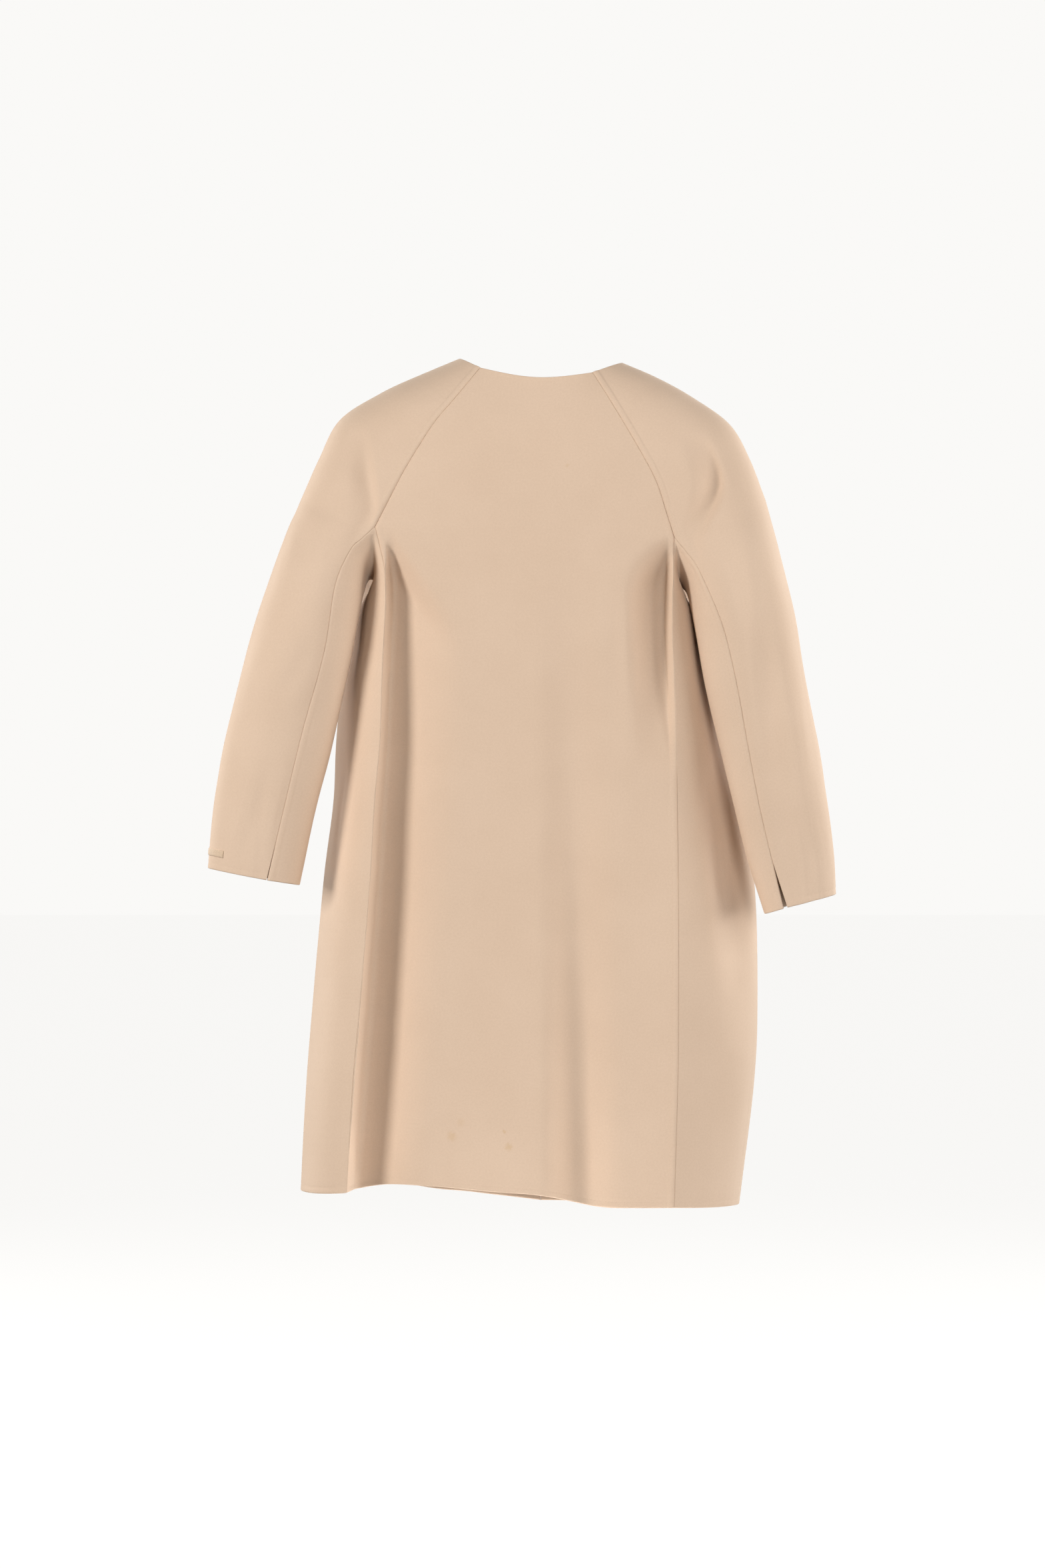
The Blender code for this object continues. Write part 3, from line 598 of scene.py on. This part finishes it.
def side_panel(side, gap):
    """Side panel cut in one with the under sleeve: from the cuff up to the underarm, down to the hem."""
    under = sleeve_sections(side, gap, True)[::-1]
    parts = under + table_sections(READ_BODY, side, "side", gap, SIDE_COLUMNS)
    grid, place, first, last, back, crest, front = (np.array(part) for part in zip(*parts))
    facing = smooth(0.0, SIDE_FOLD_FADE, place) * smooth(1.0, 1.0 - SIDE_FOLD_FADE, place)
    facing[:len(under)] = 0.0
    press_folds("side_" + side, grid, facing, False)
    welt = UNDER_SLEEVE_WELT * (np.arange(len(crest)) < len(under))
    return Cut(grid, (back, front), (first, last), both_runs(crest), (welt, welt), place)


def between(first, last, drawn, count):
    """Straight wall between two lines: points, share of the way across and distances from both ends."""
    width = np.linalg.norm(last - first, axis=1)[:, None]
    at = np.array([spread(wide, drawn, count) for wide in width[:, 0]])
    across = at / width
    grid = first[:, None, :] + (last - first)[:, None, :] * across[..., None]
    return grid, across, (at - drawn[0], width - drawn[1] - at)


def back_panel(gap):
    """Back panel: a broad crowned wall between the two whole back seams, shaped at the neck and hem."""
    left, right = whole_seam("left", "back"), whole_seam("right", "back")
    grid, across, distances = between(left, right, (gap, gap), BACK_COLUMNS)
    crown = 1.0 - np.abs(2.0 * across - 1.0) ** BACK_CROWN
    mid_height = 0.5 * (left[:, 2] + right[:, 2])
    rise = at_height(mid_height, "back_y") - 0.5 * (left[:, 1] + right[:, 1])
    grid[..., 1] += rise[:, None] * crown
    cap_part = run(left) / run(left)[CAP_ROWS - 1]
    neck = np.clip(1.0 - cap_part, 0.0, 1.0) ** 2
    grid[..., 2] -= BACK_NECK_DIP * neck[:, None] * np.sin(np.pi * across)
    hem = np.clip((mid_height[-1] + HEM_FADE - mid_height) / HEM_FADE, 0.0, 1.0) ** 2
    drop = along([[row.drop] for row in BACK_HEM],
                 np.interp(across.ravel(), [row.across for row in BACK_HEM], range(len(BACK_HEM))))
    grid[..., 2] -= hem[:, None] * drop.reshape(across.shape)
    press_folds("back", grid, 1.0, True)
    welt = smooth(*WELT_START, cap_part)
    return Cut(grid, (left, right), distances, both_runs(left), (welt, welt), across)


def front_panel(side, gap):
    """Front panel: a plain crowned wall from its whole front seam to the centre front edge."""
    seam = whole_seam(side, "front")
    cap_part = run(seam) / run(seam)[CAP_ROWS - 1]
    body = seam[CAP_ROWS - 1:, 2]
    body_part = (body - body[0]) / (body[-1] - body[0])
    edge_z = np.concatenate([FRONT_NECK_Z + (FRONT_UNDERARM_Z - FRONT_NECK_Z) * cap_part[:CAP_ROWS],
                             FRONT_UNDERARM_Z + (FRONT_HEM_Z - FRONT_UNDERARM_Z) * body_part[1:]])
    edge_x = np.full_like(edge_z, SIGN[side] * 0.5 * FRONT_EDGE_GAP)
    edge = np.stack([edge_x, at_height(edge_z, "front_y"), edge_z], axis=1)
    grid, across, distances = between(seam, edge, (gap, 0.0), FRONT_COLUMNS)
    crown = 1.0 - (1.0 - across) ** FRONT_CROWN
    grid[..., 1] = seam[:, 1:2] + (edge[:, 1] - seam[:, 1])[:, None] * crown
    neck = np.clip(1.0 - cap_part, 0.0, 1.0)
    scoop = np.sqrt(1.0 - (1.0 - across) ** 2) - across
    grid[..., 2] += (edge[:, 2] - seam[:, 2])[:, None] * scoop * neck[:, None]
    press_folds("front_" + side, grid, -1.0, True)
    welt = smooth(*WELT_START, cap_part)
    return Cut(grid, (seam, None), distances, both_runs(seam), (welt, None), across)


def surface_normals(grid, outward):
    """Unit normals at a grid's points; outward is the way that the middle of its lower end faces."""
    normals = np.cross(np.gradient(grid, axis=0), np.gradient(grid, axis=1))
    normals /= np.linalg.norm(normals, axis=2, keepdims=True)
    return normals if np.dot(normals[FACING_ROW, grid.shape[1] // 2], outward) > 0.0 else -normals


def crease_relief(points, normals):
    """How far each point moves out, and in where negative, for the creases of the face it belongs to."""
    relief = np.zeros(points.shape[:-1])
    part = np.linspace(0.0, 2.0, CREASE_SAMPLES)
    for face, (axis, sign) in FACES.items():
        weight = smooth(*FACING, sign * normals[..., axis])
        flat = np.stack([points[..., 1 - axis], points[..., 2]], axis=-1)
        for crease in CREASES[face]:
            path = TABLE_UNIT * along([crease[0:2], crease[2:4], crease[4:6]], part)
            depth = TABLE_UNIT * along([[0.0], [crease.mid_depth], [crease.end_depth]], part)[:, 0]
            reach = TABLE_UNIT * max(crease.reach_left, crease.reach_right) * 2.0
            beside = (flat > path.min(0) - reach) & (flat < path.max(0) + reach)
            near = (weight > 0.0) & np.all(beside, axis=-1)
            if not near.any():
                continue
            nearest = np.argmin(np.linalg.norm(flat[near][:, None, :] - path[None], axis=2), axis=1)
            heading = np.gradient(path, axis=0)
            heading = (heading / np.linalg.norm(heading, axis=1, keepdims=True))[nearest]
            away = flat[near] - path[nearest]
            offset = away[:, 0] * -heading[:, 1] + away[:, 1] * heading[:, 0]
            beyond = np.abs(away[:, 0] * heading[:, 0] + away[:, 1] * heading[:, 1])
            wide = TABLE_UNIT * np.where(offset > 0.0, crease.reach_left, crease.reach_right)
            far = np.hypot(offset, beyond) / wide
            trough = np.where(far < 1.0, (1.0 - far * far) ** 2, 0.0)
            lip = np.where((far > 1.0) & (far < 2.0), np.sin(np.pi * (far - 1.0)) ** 2, 0.0)
            relief[near] -= weight[near] * depth[nearest] * (trough - LIP_SHARE * lip)
    return relief


def uneven_relief(points):
    """Slight, slow unevenness of the cloth."""
    relief = np.zeros(points.shape[:-1])
    for wave in UNEVEN:
        spots = (points * (wave.across, wave.across, wave.down)).reshape(-1, 3)
        heights = np.array([noise.noise(Vector(spot)) for spot in spots])
        relief += wave.height * heights.reshape(relief.shape)
    return relief


def mitre_seams(made, normals):
    """Turn the panels' directions to one shared mean at each seam, and give how much deeper the wall is
    there, so that neighbours meet along their whole thickness."""
    mitres = {name: np.ones(cut.grid.shape[:2]) for name, cut in made.items()}
    meeting = {}
    for name, cut in made.items():
        for column, seam in zip((0, -1), cut.seams):
            for row, point in enumerate(() if seam is None else seam):
                meeting.setdefault(tuple(np.round(point, 6)), []).append((name, row, column))
    for places in meeting.values():
        mean = sum(normals[name][row, column] for name, row, column in places)
        mean = mean / np.linalg.norm(mean)
        slant = min(np.dot(mean, normals[name][row, column]) for name, row, column in places)
        for name, row, column in places:
            own = smooth(0.0, MITRE_REACH, made[name].distances[column][row])
            turned = mean * (1.0 - own)[:, None] + normals[name][row] * own[:, None]
            normals[name][row] = turned / np.linalg.norm(turned, axis=1, keepdims=True)
            deeper = own + (1.0 - own) / max(slant, SHARPEST_MITRE)
            mitres[name][row] = np.maximum(mitres[name][row], deeper)
    return mitres


@functools.cache
def panels():
    """All the panels' points, outward directions, wall depths and what shapes their edges."""
    gap = 0.5 * bpy.context.scene.coat_cloth.seam_gap
    made = {"back": back_panel(gap)}
    outward = {"back": (0.0, 1.0, 0.0)}
    for side, sign in SIGN.items():
        for kind, make, faces in (("front_", front_panel, (0.0, -1.0, 0.0)),
                                  ("sleeve_", sleeve_panel, (sign, 0.0, 0.0)),
                                  ("side_", side_panel, (sign, 0.0, 0.0))):
            made[kind + side] = make(side, gap)
            outward[kind + side] = faces
    normals = {name: surface_normals(cut.grid, outward[name]) for name, cut in made.items()}
    mitres = mitre_seams(made, normals)
    result = {}
    for name, cut in made.items():
        middle = cut.grid.shape[1] // 2
        u = np.array([run(points) for points in cut.grid])
        u -= u[:, middle:middle + 1]
        uv = np.stack(np.broadcast_arrays(u, run(cut.grid[:, middle])[:, None]), axis=-1)
        relief = crease_relief(cut.grid, normals[name]) + uneven_relief(cut.grid)
        points = cut.grid + relief[..., None] * normals[name]
        result[name] = Panel(points, normals[name], mitres[name], uv, cut.distances, cut.free_rows, cut.welt,
                             cut.place)
    return result


def rolled(distance, radius):
    """How far an edge turns down into the cloth, from the distance to that edge."""
    t = np.clip(1.0 - distance / radius, 0.0, 1.0)
    return radius * (1.0 - np.sqrt(1.0 - t * t))


@functools.cache
def panel_faces(node):
    """Outer and inner points of a panel's wall, shaped at seams, hems and edges, and how deep in a seam
    each of them lies."""
    cloth = bpy.context.scene.coat_cloth
    panel = panels()[node]
    first, last = panel.distances
    sewn_last = not node.startswith("front")
    top, bottom = (np.repeat(rows[:, None], first.shape[1], axis=1) for rows in panel.free_rows)
    turned = functools.reduce(np.maximum, (
        rolled(top, cloth.edge_roll), rolled(bottom, cloth.edge_roll), rolled(first, cloth.seam_roll),
        rolled(last, cloth.seam_roll if sewn_last else cloth.edge_roll)))
    out = -turned
    for distance, weight in zip((first, last), panel.welt):
        if weight is not None:
            raised = smooth(*WELT_RISE, distance) * (1.0 - smooth(*WELT_FALL, distance / cloth.welt_width))
            out += cloth.welt_height * weight[:, None] * raised
    out -= cloth.hem_line * np.exp(-((bottom - cloth.hem_turn) / HEM_LINE_WIDTH) ** 2)
    outer = panel.points + out[..., None] * panel.normals
    inner = panel.points - (cloth.thickness * panel.mitre - turned)[..., None] * panel.normals
    return outer, inner, np.exp(-(np.minimum(first, last) if sewn_last else first) / SEAM_FADE)


def wall_mesh(name, outer, inner, uv, deep, material):
    """Closed wall between an outer and an inner grid of points, with its UV map and its seam depth."""
    rows, count = outer.shape[:2]
    half = rows * count
    index = np.arange(half).reshape(rows, count)
    a, b, c, d = index[:-1, :-1], index[:-1, 1:], index[1:, 1:], index[1:, :-1]
    quads = np.stack([a, b, c, d], axis=-1).reshape(-1, 4)
    rim = np.concatenate([index[0, :-1], index[:-1, -1], index[-1, :0:-1], index[:0:-1, 0]])
    ahead = np.roll(rim, -1)
    band = np.stack([rim, rim + half, ahead + half, ahead], axis=-1)
    points = np.concatenate([outer.reshape(-1, 3), inner.reshape(-1, 3)])
    faces = np.concatenate([quads, quads[:, ::-1] + half, band])
    corner, beside, _, below = quads[len(quads) // 2]
    facing = np.cross(points[beside] - points[corner], points[below] - points[corner])
    if np.dot(facing, points[corner] - points[corner + half]) < 0.0:
        faces = faces[:, ::-1]
    mesh = bpy.data.meshes.new(name)
    mesh.from_pydata(points.tolist(), [], faces.tolist())
    mesh.shade_smooth()
    corners = np.zeros(len(mesh.loops), dtype=np.int32)
    mesh.loops.foreach_get("vertex_index", corners)
    both = np.concatenate([uv.reshape(-1, 2)] * 2)
    mesh.uv_layers.new(name="cloth").data.foreach_set("uv", both[corners].astype(np.float32).ravel())
    sunk = np.concatenate([deep.ravel()] * 2).astype(np.float32)
    mesh.attributes.new("seam", "FLOAT", "POINT").data.foreach_set("value", sunk)
    mesh.materials.append(material)
    return mesh


def add_object(name, data):
    """New object at the origin with a mesh, a lamp or a camera."""
    piece = bpy.data.objects.new(name, data)
    bpy.context.scene.collection.objects.link(piece)
    return piece


def add_panel(piece_name, node):
    """One panel of wool in place of its solid."""
    outer, inner, deep = panel_faces(node)
    mesh = wall_mesh(piece_name, outer, inner, panels()[node].uv, deep, wool_material())
    piece = add_object(piece_name, mesh)
    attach(piece, "root")
    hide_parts(node)


def put(tree, socket, value):
    """Give a socket a value, or a link where the value is another node's socket."""
    if isinstance(value, bpy.types.NodeSocket):
        tree.links.new(value, socket)
    else:
        socket.default_value = value


def add_node(tree, kind, *given, **settings):
    """New shader or geometry node; given values go to its sockets in order, settings by their names."""
    node = tree.nodes.new(kind)
    for key, value in settings.items():
        if key in node.inputs:
            put(tree, node.inputs[key], value)
        else:
            setattr(node, key, value)
    for socket, value in zip(node.inputs, given):
        put(tree, socket, value)
    return node


def mixed(tree, mode, factor, first, second):
    """Colour mix of two sockets or colours."""
    node = add_node(tree, "ShaderNodeMix", data_type="RGBA", blend_type=mode, clamp_result=True)
    for k, value in ((0, factor), (6, first), (7, second)):
        put(tree, node.inputs[k], value)
    return node.outputs[2]


def ranged(tree, *values):
    """Value mapped softly from one range to another: the value, its low and high, the new low and high."""
    return add_node(tree, "ShaderNodeMapRange", *values, interpolation_type="SMOOTHSTEP").outputs[0]


def calculated(tree, operation, first, second):
    """Maths on two sockets or numbers."""
    return add_node(tree, "ShaderNodeMath", first, second, operation=operation).outputs[0]


def grained(tree, source, grain):
    """Noise of one grain over a set of coordinates."""
    return add_node(tree, "ShaderNodeTexNoise", Scale=grain.scale, Detail=grain.detail, Roughness=grain.rough,
                    Distortion=grain.distortion, Vector=source).outputs["Fac"]


def bumped(tree, height, relief):
    """Shading directions of a fine relief."""
    return add_node(tree, "ShaderNodeBump", *relief, Height=height).outputs["Normal"]


def new_material(name):
    """New material with its node tree."""
    material = bpy.data.materials.new(name)
    material.use_nodes = True
    return material, material.node_tree


def set_shader(tree, **values):
    """Give the tree's shader its values and links; an underscore stands for a space in a socket's name."""
    for name, value in values.items():
        put(tree, tree.nodes["Principled BSDF"].inputs[name.replace("_", " ")], value)


@functools.cache
def wool_material():
    """Double-faced wool: mottled fibres, faint weave, short nap, painted shade in the seam creases and a few
    faint stains.
    """
    cloth = bpy.context.scene.coat_cloth
    material, tree = new_material("double_faced_wool")
    place = add_node(tree, "ShaderNodeTexCoord")
    body, flat = place.outputs["Object"], place.outputs["UV"]
    deep = 0.0
    for source, shades in ((body, BODY_SHADES), (flat, FIBRE_SHADES)):
        for shade in shades:
            share = ranged(tree, grained(tree, source, shade.grain), shade.low, shade.high, 0.0, shade.share)
            deep = calculated(tree, "ADD", deep, share)
    colour = mixed(tree, "MIX", deep, cloth.wool_light, cloth.wool_deep)
    ragged = ranged(tree, grained(tree, body, STAIN_EDGE), 0.0, 1.0, -STAIN_RAGGED, STAIN_RAGGED)
    for stain in STAINS:
        near = add_node(tree, "ShaderNodeVectorMath", body, stain[:3], operation="DISTANCE")
        away = calculated(tree, "ADD", near.outputs["Value"], ragged)
        mark = ranged(tree, away, stain.radius, STAIN_CORE * stain.radius, 0.0, stain.strength)
        colour = mixed(tree, "MULTIPLY", mark, colour, STAIN_COLOUR)
    # Painted shade: the deeper a point lies in a seam, the more the wool turns to the painted seam shade
    # colour.
    sunk = add_node(tree, "ShaderNodeAttribute", attribute_name="seam").outputs["Fac"]
    dark = ranged(tree, sunk, PAINTED_SEAM_SHADE_START, 1.0, 0.0, PAINTED_SEAM_SHADE_SHARE)
    colour = mixed(tree, "MIX", dark, colour, cloth.painted_seam_shade)
    waves = []
    for direction in ("X", "Y"):
        wave = add_node(tree, "ShaderNodeTexWave", bands_direction=direction, wave_profile="SIN", Vector=flat,
                        Scale=ONE_WAVE * cloth.weave_waves, Distortion=1.6, Detail=2.0)
        wave.inputs["Detail Scale"].default_value = 1.4
        waves.append(wave.outputs["Fac"])
    woven = calculated(tree, "MULTIPLY", calculated(tree, "MULTIPLY", *waves), WEAVE_SHARE)
    height = calculated(tree, "ADD", woven, grained(tree, flat, NAP))
    rough = ranged(tree, grained(tree, flat, HEATHER), *ROUGH_SPAN, *WOOL_ROUGH)
    set_shader(tree, Base_Color=colour, Normal=bumped(tree, height, WOOL_RELIEF), Roughness=rough,
               Specular_IOR_Level=0.22, Sheen_Weight=0.22, Sheen_Roughness=0.45,
               Sheen_Tint=(1.0, 0.90, 0.78, 1.0))
    return material


def plain_fibre_material(name, colour, grain):
    """Matt fibre in one colour with fine uneven yarns, for the cuff strip and the sewing thread."""
    material, tree = new_material(name)
    yarn = grained(tree, add_node(tree, "ShaderNodeTexCoord").outputs["Object"], grain)
    deep = [channel * YARN_DEEP for channel in colour[:3]] + [1.0]
    base = mixed(tree, "MIX", ranged(tree, yarn, *YARN_SPAN, 0.0, 1.0), colour, deep)
    set_shader(tree, Base_Color=base, Normal=bumped(tree, yarn, YARN_RELIEF),
               Roughness=ranged(tree, yarn, *ROUGH_SPAN, *YARN_ROUGH), Sheen_Weight=0.2)
    return material


def panel_spot(node, row, column):
    """A point of a panel's outer face and the way it faces, at a fractional row and column."""
    outer, normals = panel_faces(node)[0], panels()[node].normals
    above = min(int(np.floor(row)), outer.shape[0] - 2)
    before = min(int(np.floor(column)), outer.shape[1] - 2)
    down, over = row - above, column - before
    weights = ((1 - down) * (1 - over), (1 - down) * over, down * (1 - over), down * over)
    spots = ((above, before), (above, before + 1), (above + 1, before), (above + 1, before + 1))
    point, normal = (sum(weight * grid[spot] for weight, spot in zip(weights, spots))
                     for grid in (outer, normals))
    return point, normal / np.linalg.norm(normal)


class COAT_OT_cuff_strip(bpy.types.Operator):
    """Narrow strip of wool round the outer edge of the left cuff"""
    bl_idname = "coat.cuff_strip"
    bl_label = "Cuff strip"

    def execute(self, context):
        cloth = context.scene.coat_cloth
        panel = panels()["sleeve_left"]
        order = np.argsort(panel.free_rows[1])
        across = np.linspace(0.0, 1.0, TAB_ROWS)
        around = np.linspace(1.0 - TAB_BACK, 1.0 + TAB_FRONT, TAB_COLUMNS)
        spots = []
        for height in TAB_ABOVE_CUFF + TAB_WIDTH * across[::-1]:
            row = float(np.interp(height, panel.free_rows[1][order], order))
            place = panel.place[int(round(row))]
            spots.append([panel_spot("sleeve_left", row, float(column))
                          for column in np.interp(around, place, np.arange(len(place)))])
        points, normals = np.moveaxis(np.array(spots), 2, 0)
        edge = np.minimum(across, 1.0 - across) * TAB_WIDTH
        lengths, lengths_back = both_runs(points[TAB_ROWS // 2])
        near = np.minimum(edge[:, None], np.minimum(lengths, lengths_back)[None, :])
        crown = TAB_THICK - TAB_ROLL * rolled(near, TAB_THICK)
        outer = points + (cloth.seam_gap + crown)[..., None] * normals
        inner = points + cloth.seam_gap * normals
        uv = np.stack(np.broadcast_arrays(lengths[None, :], edge[:, None]), axis=-1)
        material = plain_fibre_material("cuff_strip_wool", cloth.strip_colour, STRIP_YARN)
        mesh = wall_mesh("cuff_strip", outer, inner, uv, np.zeros(near.shape), material)
        piece = add_object("cuff_strip", mesh)
        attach(piece, "root")
        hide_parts("cuff_tab")
        return {"FINISHED"}


class COAT_OT_back(bpy.types.Operator):
    """Back panel from the neckline to the hem"""
    bl_idname = "coat.back"
    bl_label = "Back"

    def execute(self, context):
        add_panel("back_panel", "back")
        return {"FINISHED"}


class COAT_OT_fronts(bpy.types.Operator):
    """Two plain fronts that meet edge to edge"""
    bl_idname = "coat.fronts"
    bl_label = "Fronts"

    def execute(self, context):
        add_panel("front_panel_left", "front_left")
        add_panel("front_panel_right", "front_right")
        return {"FINISHED"}


class COAT_OT_sleeves(bpy.types.Operator):
    """Two raglan top sleeves from the neckline to the cuffs"""
    bl_idname = "coat.sleeves"
    bl_label = "Sleeves"

    def execute(self, context):
        add_panel("sleeve_panel_left", "sleeve_left")
        add_panel("sleeve_panel_right", "sleeve_right")
        return {"FINISHED"}


class COAT_OT_sides(bpy.types.Operator):
    """Two side panels cut in one with the under sleeves"""
    bl_idname = "coat.sides"
    bl_label = "Sides"

    def execute(self, context):
        add_panel("side_panel_left", "side_left")
        add_panel("side_panel_right", "side_right")
        return {"FINISHED"}


def stitch_tree():
    """Geometry nodes that lay short threads along lines, each in the line's own direction."""
    tree = bpy.data.node_groups.new("coat_stitches", "GeometryNodeTree")
    for name, kind in (("Lines", "Geometry"), ("Pitch", "Float"), ("Length", "Float"), ("Thickness", "Float"),
                       ("Thread", "Material")):
        tree.interface.new_socket(name, in_out="INPUT", socket_type="NodeSocket" + kind)
    tree.interface.new_socket("Stitches", in_out="OUTPUT", socket_type="NodeSocketGeometry")
    given = add_node(tree, "NodeGroupInput").outputs
    curve = add_node(tree, "GeometryNodeMeshToCurve", Mesh=given["Lines"])
    even = add_node(tree, "GeometryNodeResampleCurve", mode="LENGTH", Curve=curve.outputs[0],
                    Length=given["Pitch"])
    thread = add_node(tree, "GeometryNodeMeshUVSphere", Segments=6, Rings=4, Radius=0.5)
    tangent = add_node(tree, "GeometryNodeInputTangent")
    turn = add_node(tree, "FunctionNodeAlignRotationToVector", axis="X", Vector=tangent.outputs[0])
    size = add_node(tree, "ShaderNodeCombineXYZ", given["Length"], given["Thickness"], given["Thickness"])
    lay = add_node(tree, "GeometryNodeInstanceOnPoints", Points=even.outputs[0], Instance=thread.outputs[0],
                   Rotation=turn.outputs[0], Scale=size.outputs[0])
    real = add_node(tree, "GeometryNodeRealizeInstances", Geometry=lay.outputs[0])
    paint = add_node(tree, "GeometryNodeSetMaterial", Geometry=real.outputs[0], Material=given["Thread"])
    add_node(tree, "NodeGroupOutput", paint.outputs[0])
    return tree


def stitch_lines(cloth):
    """Lines of felling stitches: beside every seam at the welt's edge, and along hem and cuffs."""
    paths = []
    for node, panel in panels().items():
        outer = panel_faces(node)[0]
        for weight, distances in zip(panel.welt, panel.distances):
            if weight is None or not np.any(weight > SEWN_WELT):
                continue
            rows = np.flatnonzero(weight > SEWN_WELT)[EDGE_COUNT:-EDGE_COUNT]
            near = np.argmin(np.abs(distances[rows] - cloth.welt_width), axis=1)
            paths.append(outer[rows, near])
        for end in (0, 1) if node.startswith("side") else (1,):
            row = int(np.argmin(np.abs(panel.free_rows[end] - cloth.hem_turn)))
            paths.append(outer[row, EDGE_COUNT:-EDGE_COUNT])
    return paths


class COAT_OT_stitches(bpy.types.Operator):
    """Small felling stitches along the seams, the hem and the cuffs"""
    bl_idname = "coat.stitches"
    bl_label = "Stitches"

    def execute(self, context):
        cloth = context.scene.coat_cloth
        points, edges = [], []
        for path in stitch_lines(cloth):
            start = len(points)
            points += path.tolist()
            edges += [(start + k, start + k + 1) for k in range(len(path) - 1)]
        mesh = bpy.data.meshes.new("stitch_lines")
        mesh.from_pydata(points, edges, [])
        guide = add_object("stitch_lines", mesh)
        tree = stitch_tree()
        modifier = guide.modifiers.new("stitches", "NODES")
        modifier.node_group = tree
        thread = plain_fibre_material("sewing_thread", cloth.thread_colour, THREAD_YARN)
        values = {"Pitch": cloth.stitch_pitch, "Length": cloth.stitch_length,
                  "Thickness": cloth.stitch_thick, "Thread": thread}
        for item in tree.interface.items_tree:
            if item.in_out == "INPUT" and item.name in values:
                modifier[item.identifier] = values[item.name]
        evaluated = guide.evaluated_get(context.evaluated_depsgraph_get())
        stitched = bpy.data.meshes.new_from_object(evaluated)
        if not stitched.polygons:
            raise RuntimeError("the stitch tree made no stitches")
        bpy.data.objects.remove(guide)
        stitched.name = "felling_stitches"
        stitched.shade_smooth()
        piece = add_object("felling_stitches", stitched)
        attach(piece, "root")
        return {"FINISHED"}


def add_floor(stage):
    """Plain pale floor that looks like the backdrop and sends little light back."""
    half = 0.5 * stage.floor_size
    mesh = bpy.data.meshes.new("floor")
    corners = [(-half, -half), (half, -half), (half, half), (-half, half)]
    mesh.from_pydata([(x, y, stage.floor_z) for x, y in corners], [], [(0, 1, 2, 3)])
    material, tree = new_material("pale_floor")
    bounce, shine = ([share * part for part in stage.backdrop[:3]] + [1.0]
                     for share in (FLOOR_BOUNCE, FLOOR_SHINE))
    seen = add_node(tree, "ShaderNodeLightPath").outputs["Is Camera Ray"]
    set_shader(tree, Base_Color=bounce, Roughness=0.95, Emission_Color=shine, Emission_Strength=seen)
    mesh.materials.append(material)
    floor = add_object("floor", mesh)


def set_world(stage):
    """Even light from all round, with the backdrop's colour for the camera."""
    world = bpy.data.worlds.new("even_light")
    world.use_nodes = True
    tree = world.node_tree
    fill = tree.nodes["Background"]
    put(tree, fill.inputs["Color"], FILL_COLOUR)
    put(tree, fill.inputs["Strength"], stage.fill)
    seen = add_node(tree, "ShaderNodeBackground", Color=stage.backdrop)
    path = add_node(tree, "ShaderNodeLightPath")
    choose = add_node(tree, "ShaderNodeMixShader", path.outputs["Is Camera Ray"], fill.outputs[0],
                      seen.outputs[0])
    put(tree, tree.nodes["World Output"].inputs["Surface"], choose.outputs[0])
    bpy.context.scene.world = world


def add_lamps(stage):
    """Large soft lamps round the coat."""
    for row in LAMPS:
        lamp = bpy.data.lights.new(row.name, "AREA")
        lamp.shape = "DISK"
        lamp.size = row.size
        lamp.energy = stage.key_power * row.share
        lamp.color = row.colour
        holder = add_object(row.name, lamp)
        holder.location = row.spot
        holder.visible_camera = False
        aim = Vector((0.0, 0.0, stage.frame_z)) - Vector(row.spot)
        holder.rotation_euler = aim.to_track_quat("-Z", "Y").to_euler()


def add_camera(stage):
    """Level camera behind the coat."""
    lens = bpy.data.cameras.new("camera")
    lens.sensor_width = 36.0
    lens.lens = lens.sensor_width * stage.camera_distance / stage.frame_height
    camera = add_object("camera", lens)
    camera.location = (stage.frame_x, stage.camera_distance, stage.frame_z)
    camera.rotation_euler = Vector((0.0, -1.0, 0.0)).to_track_quat("-Z", "Y").to_euler()
    bpy.context.scene.camera = camera


class COAT_OT_stage(bpy.types.Operator):
    """Pale floor, soft light and the camera"""
    bl_idname = "coat.stage"
    bl_label = "Stage"

    def execute(self, context):
        for add in (add_floor, set_world, add_lamps, add_camera):
            add(context.scene.coat_stage)
        context.scene.view_settings.view_transform = "Standard"
        context.scene.view_settings.look = "None"
        return {"FINISHED"}


class COAT_PT_sidebar(bpy.types.Panel):
    """Lists the coat's settings and its pieces"""
    bl_idname = "COAT_PT_sidebar"
    bl_label = "Coat"
    bl_space_type = "VIEW_3D"
    bl_region_type = "UI"
    bl_category = "Coat"

    def draw(self, context):
        for settings in (context.scene.coat_cloth, context.scene.coat_stage):
            box = self.layout.box()
            for name in settings.__annotations__:
                box.prop(settings, name)
        for operator in OPERATORS:
            self.layout.operator(operator.bl_idname)


OPERATORS = (COAT_OT_stage, COAT_OT_cuff_strip, COAT_OT_back, COAT_OT_fronts, COAT_OT_sleeves,
             COAT_OT_sides, COAT_OT_stitches)
CLASSES = (CoatCloth, CoatStage, *OPERATORS, COAT_PT_sidebar)


def register():
    for made in CLASSES:
        bpy.utils.register_class(made)
    bpy.types.Scene.coat_cloth = bpy.props.PointerProperty(type=CoatCloth)
    bpy.types.Scene.coat_stage = bpy.props.PointerProperty(type=CoatStage)


def unregister():
    del bpy.types.Scene.coat_stage
    del bpy.types.Scene.coat_cloth
    for made in reversed(CLASSES):
        bpy.utils.unregister_class(made)


def main():
    register()
    bpy.ops.coat.stage()
    bpy.ops.coat.cuff_strip()
    bpy.ops.coat.back()
    bpy.ops.coat.fronts()
    bpy.ops.coat.sleeves()
    bpy.ops.coat.sides()
    bpy.ops.coat.stitches()


if __name__ == "__main__":
    main()
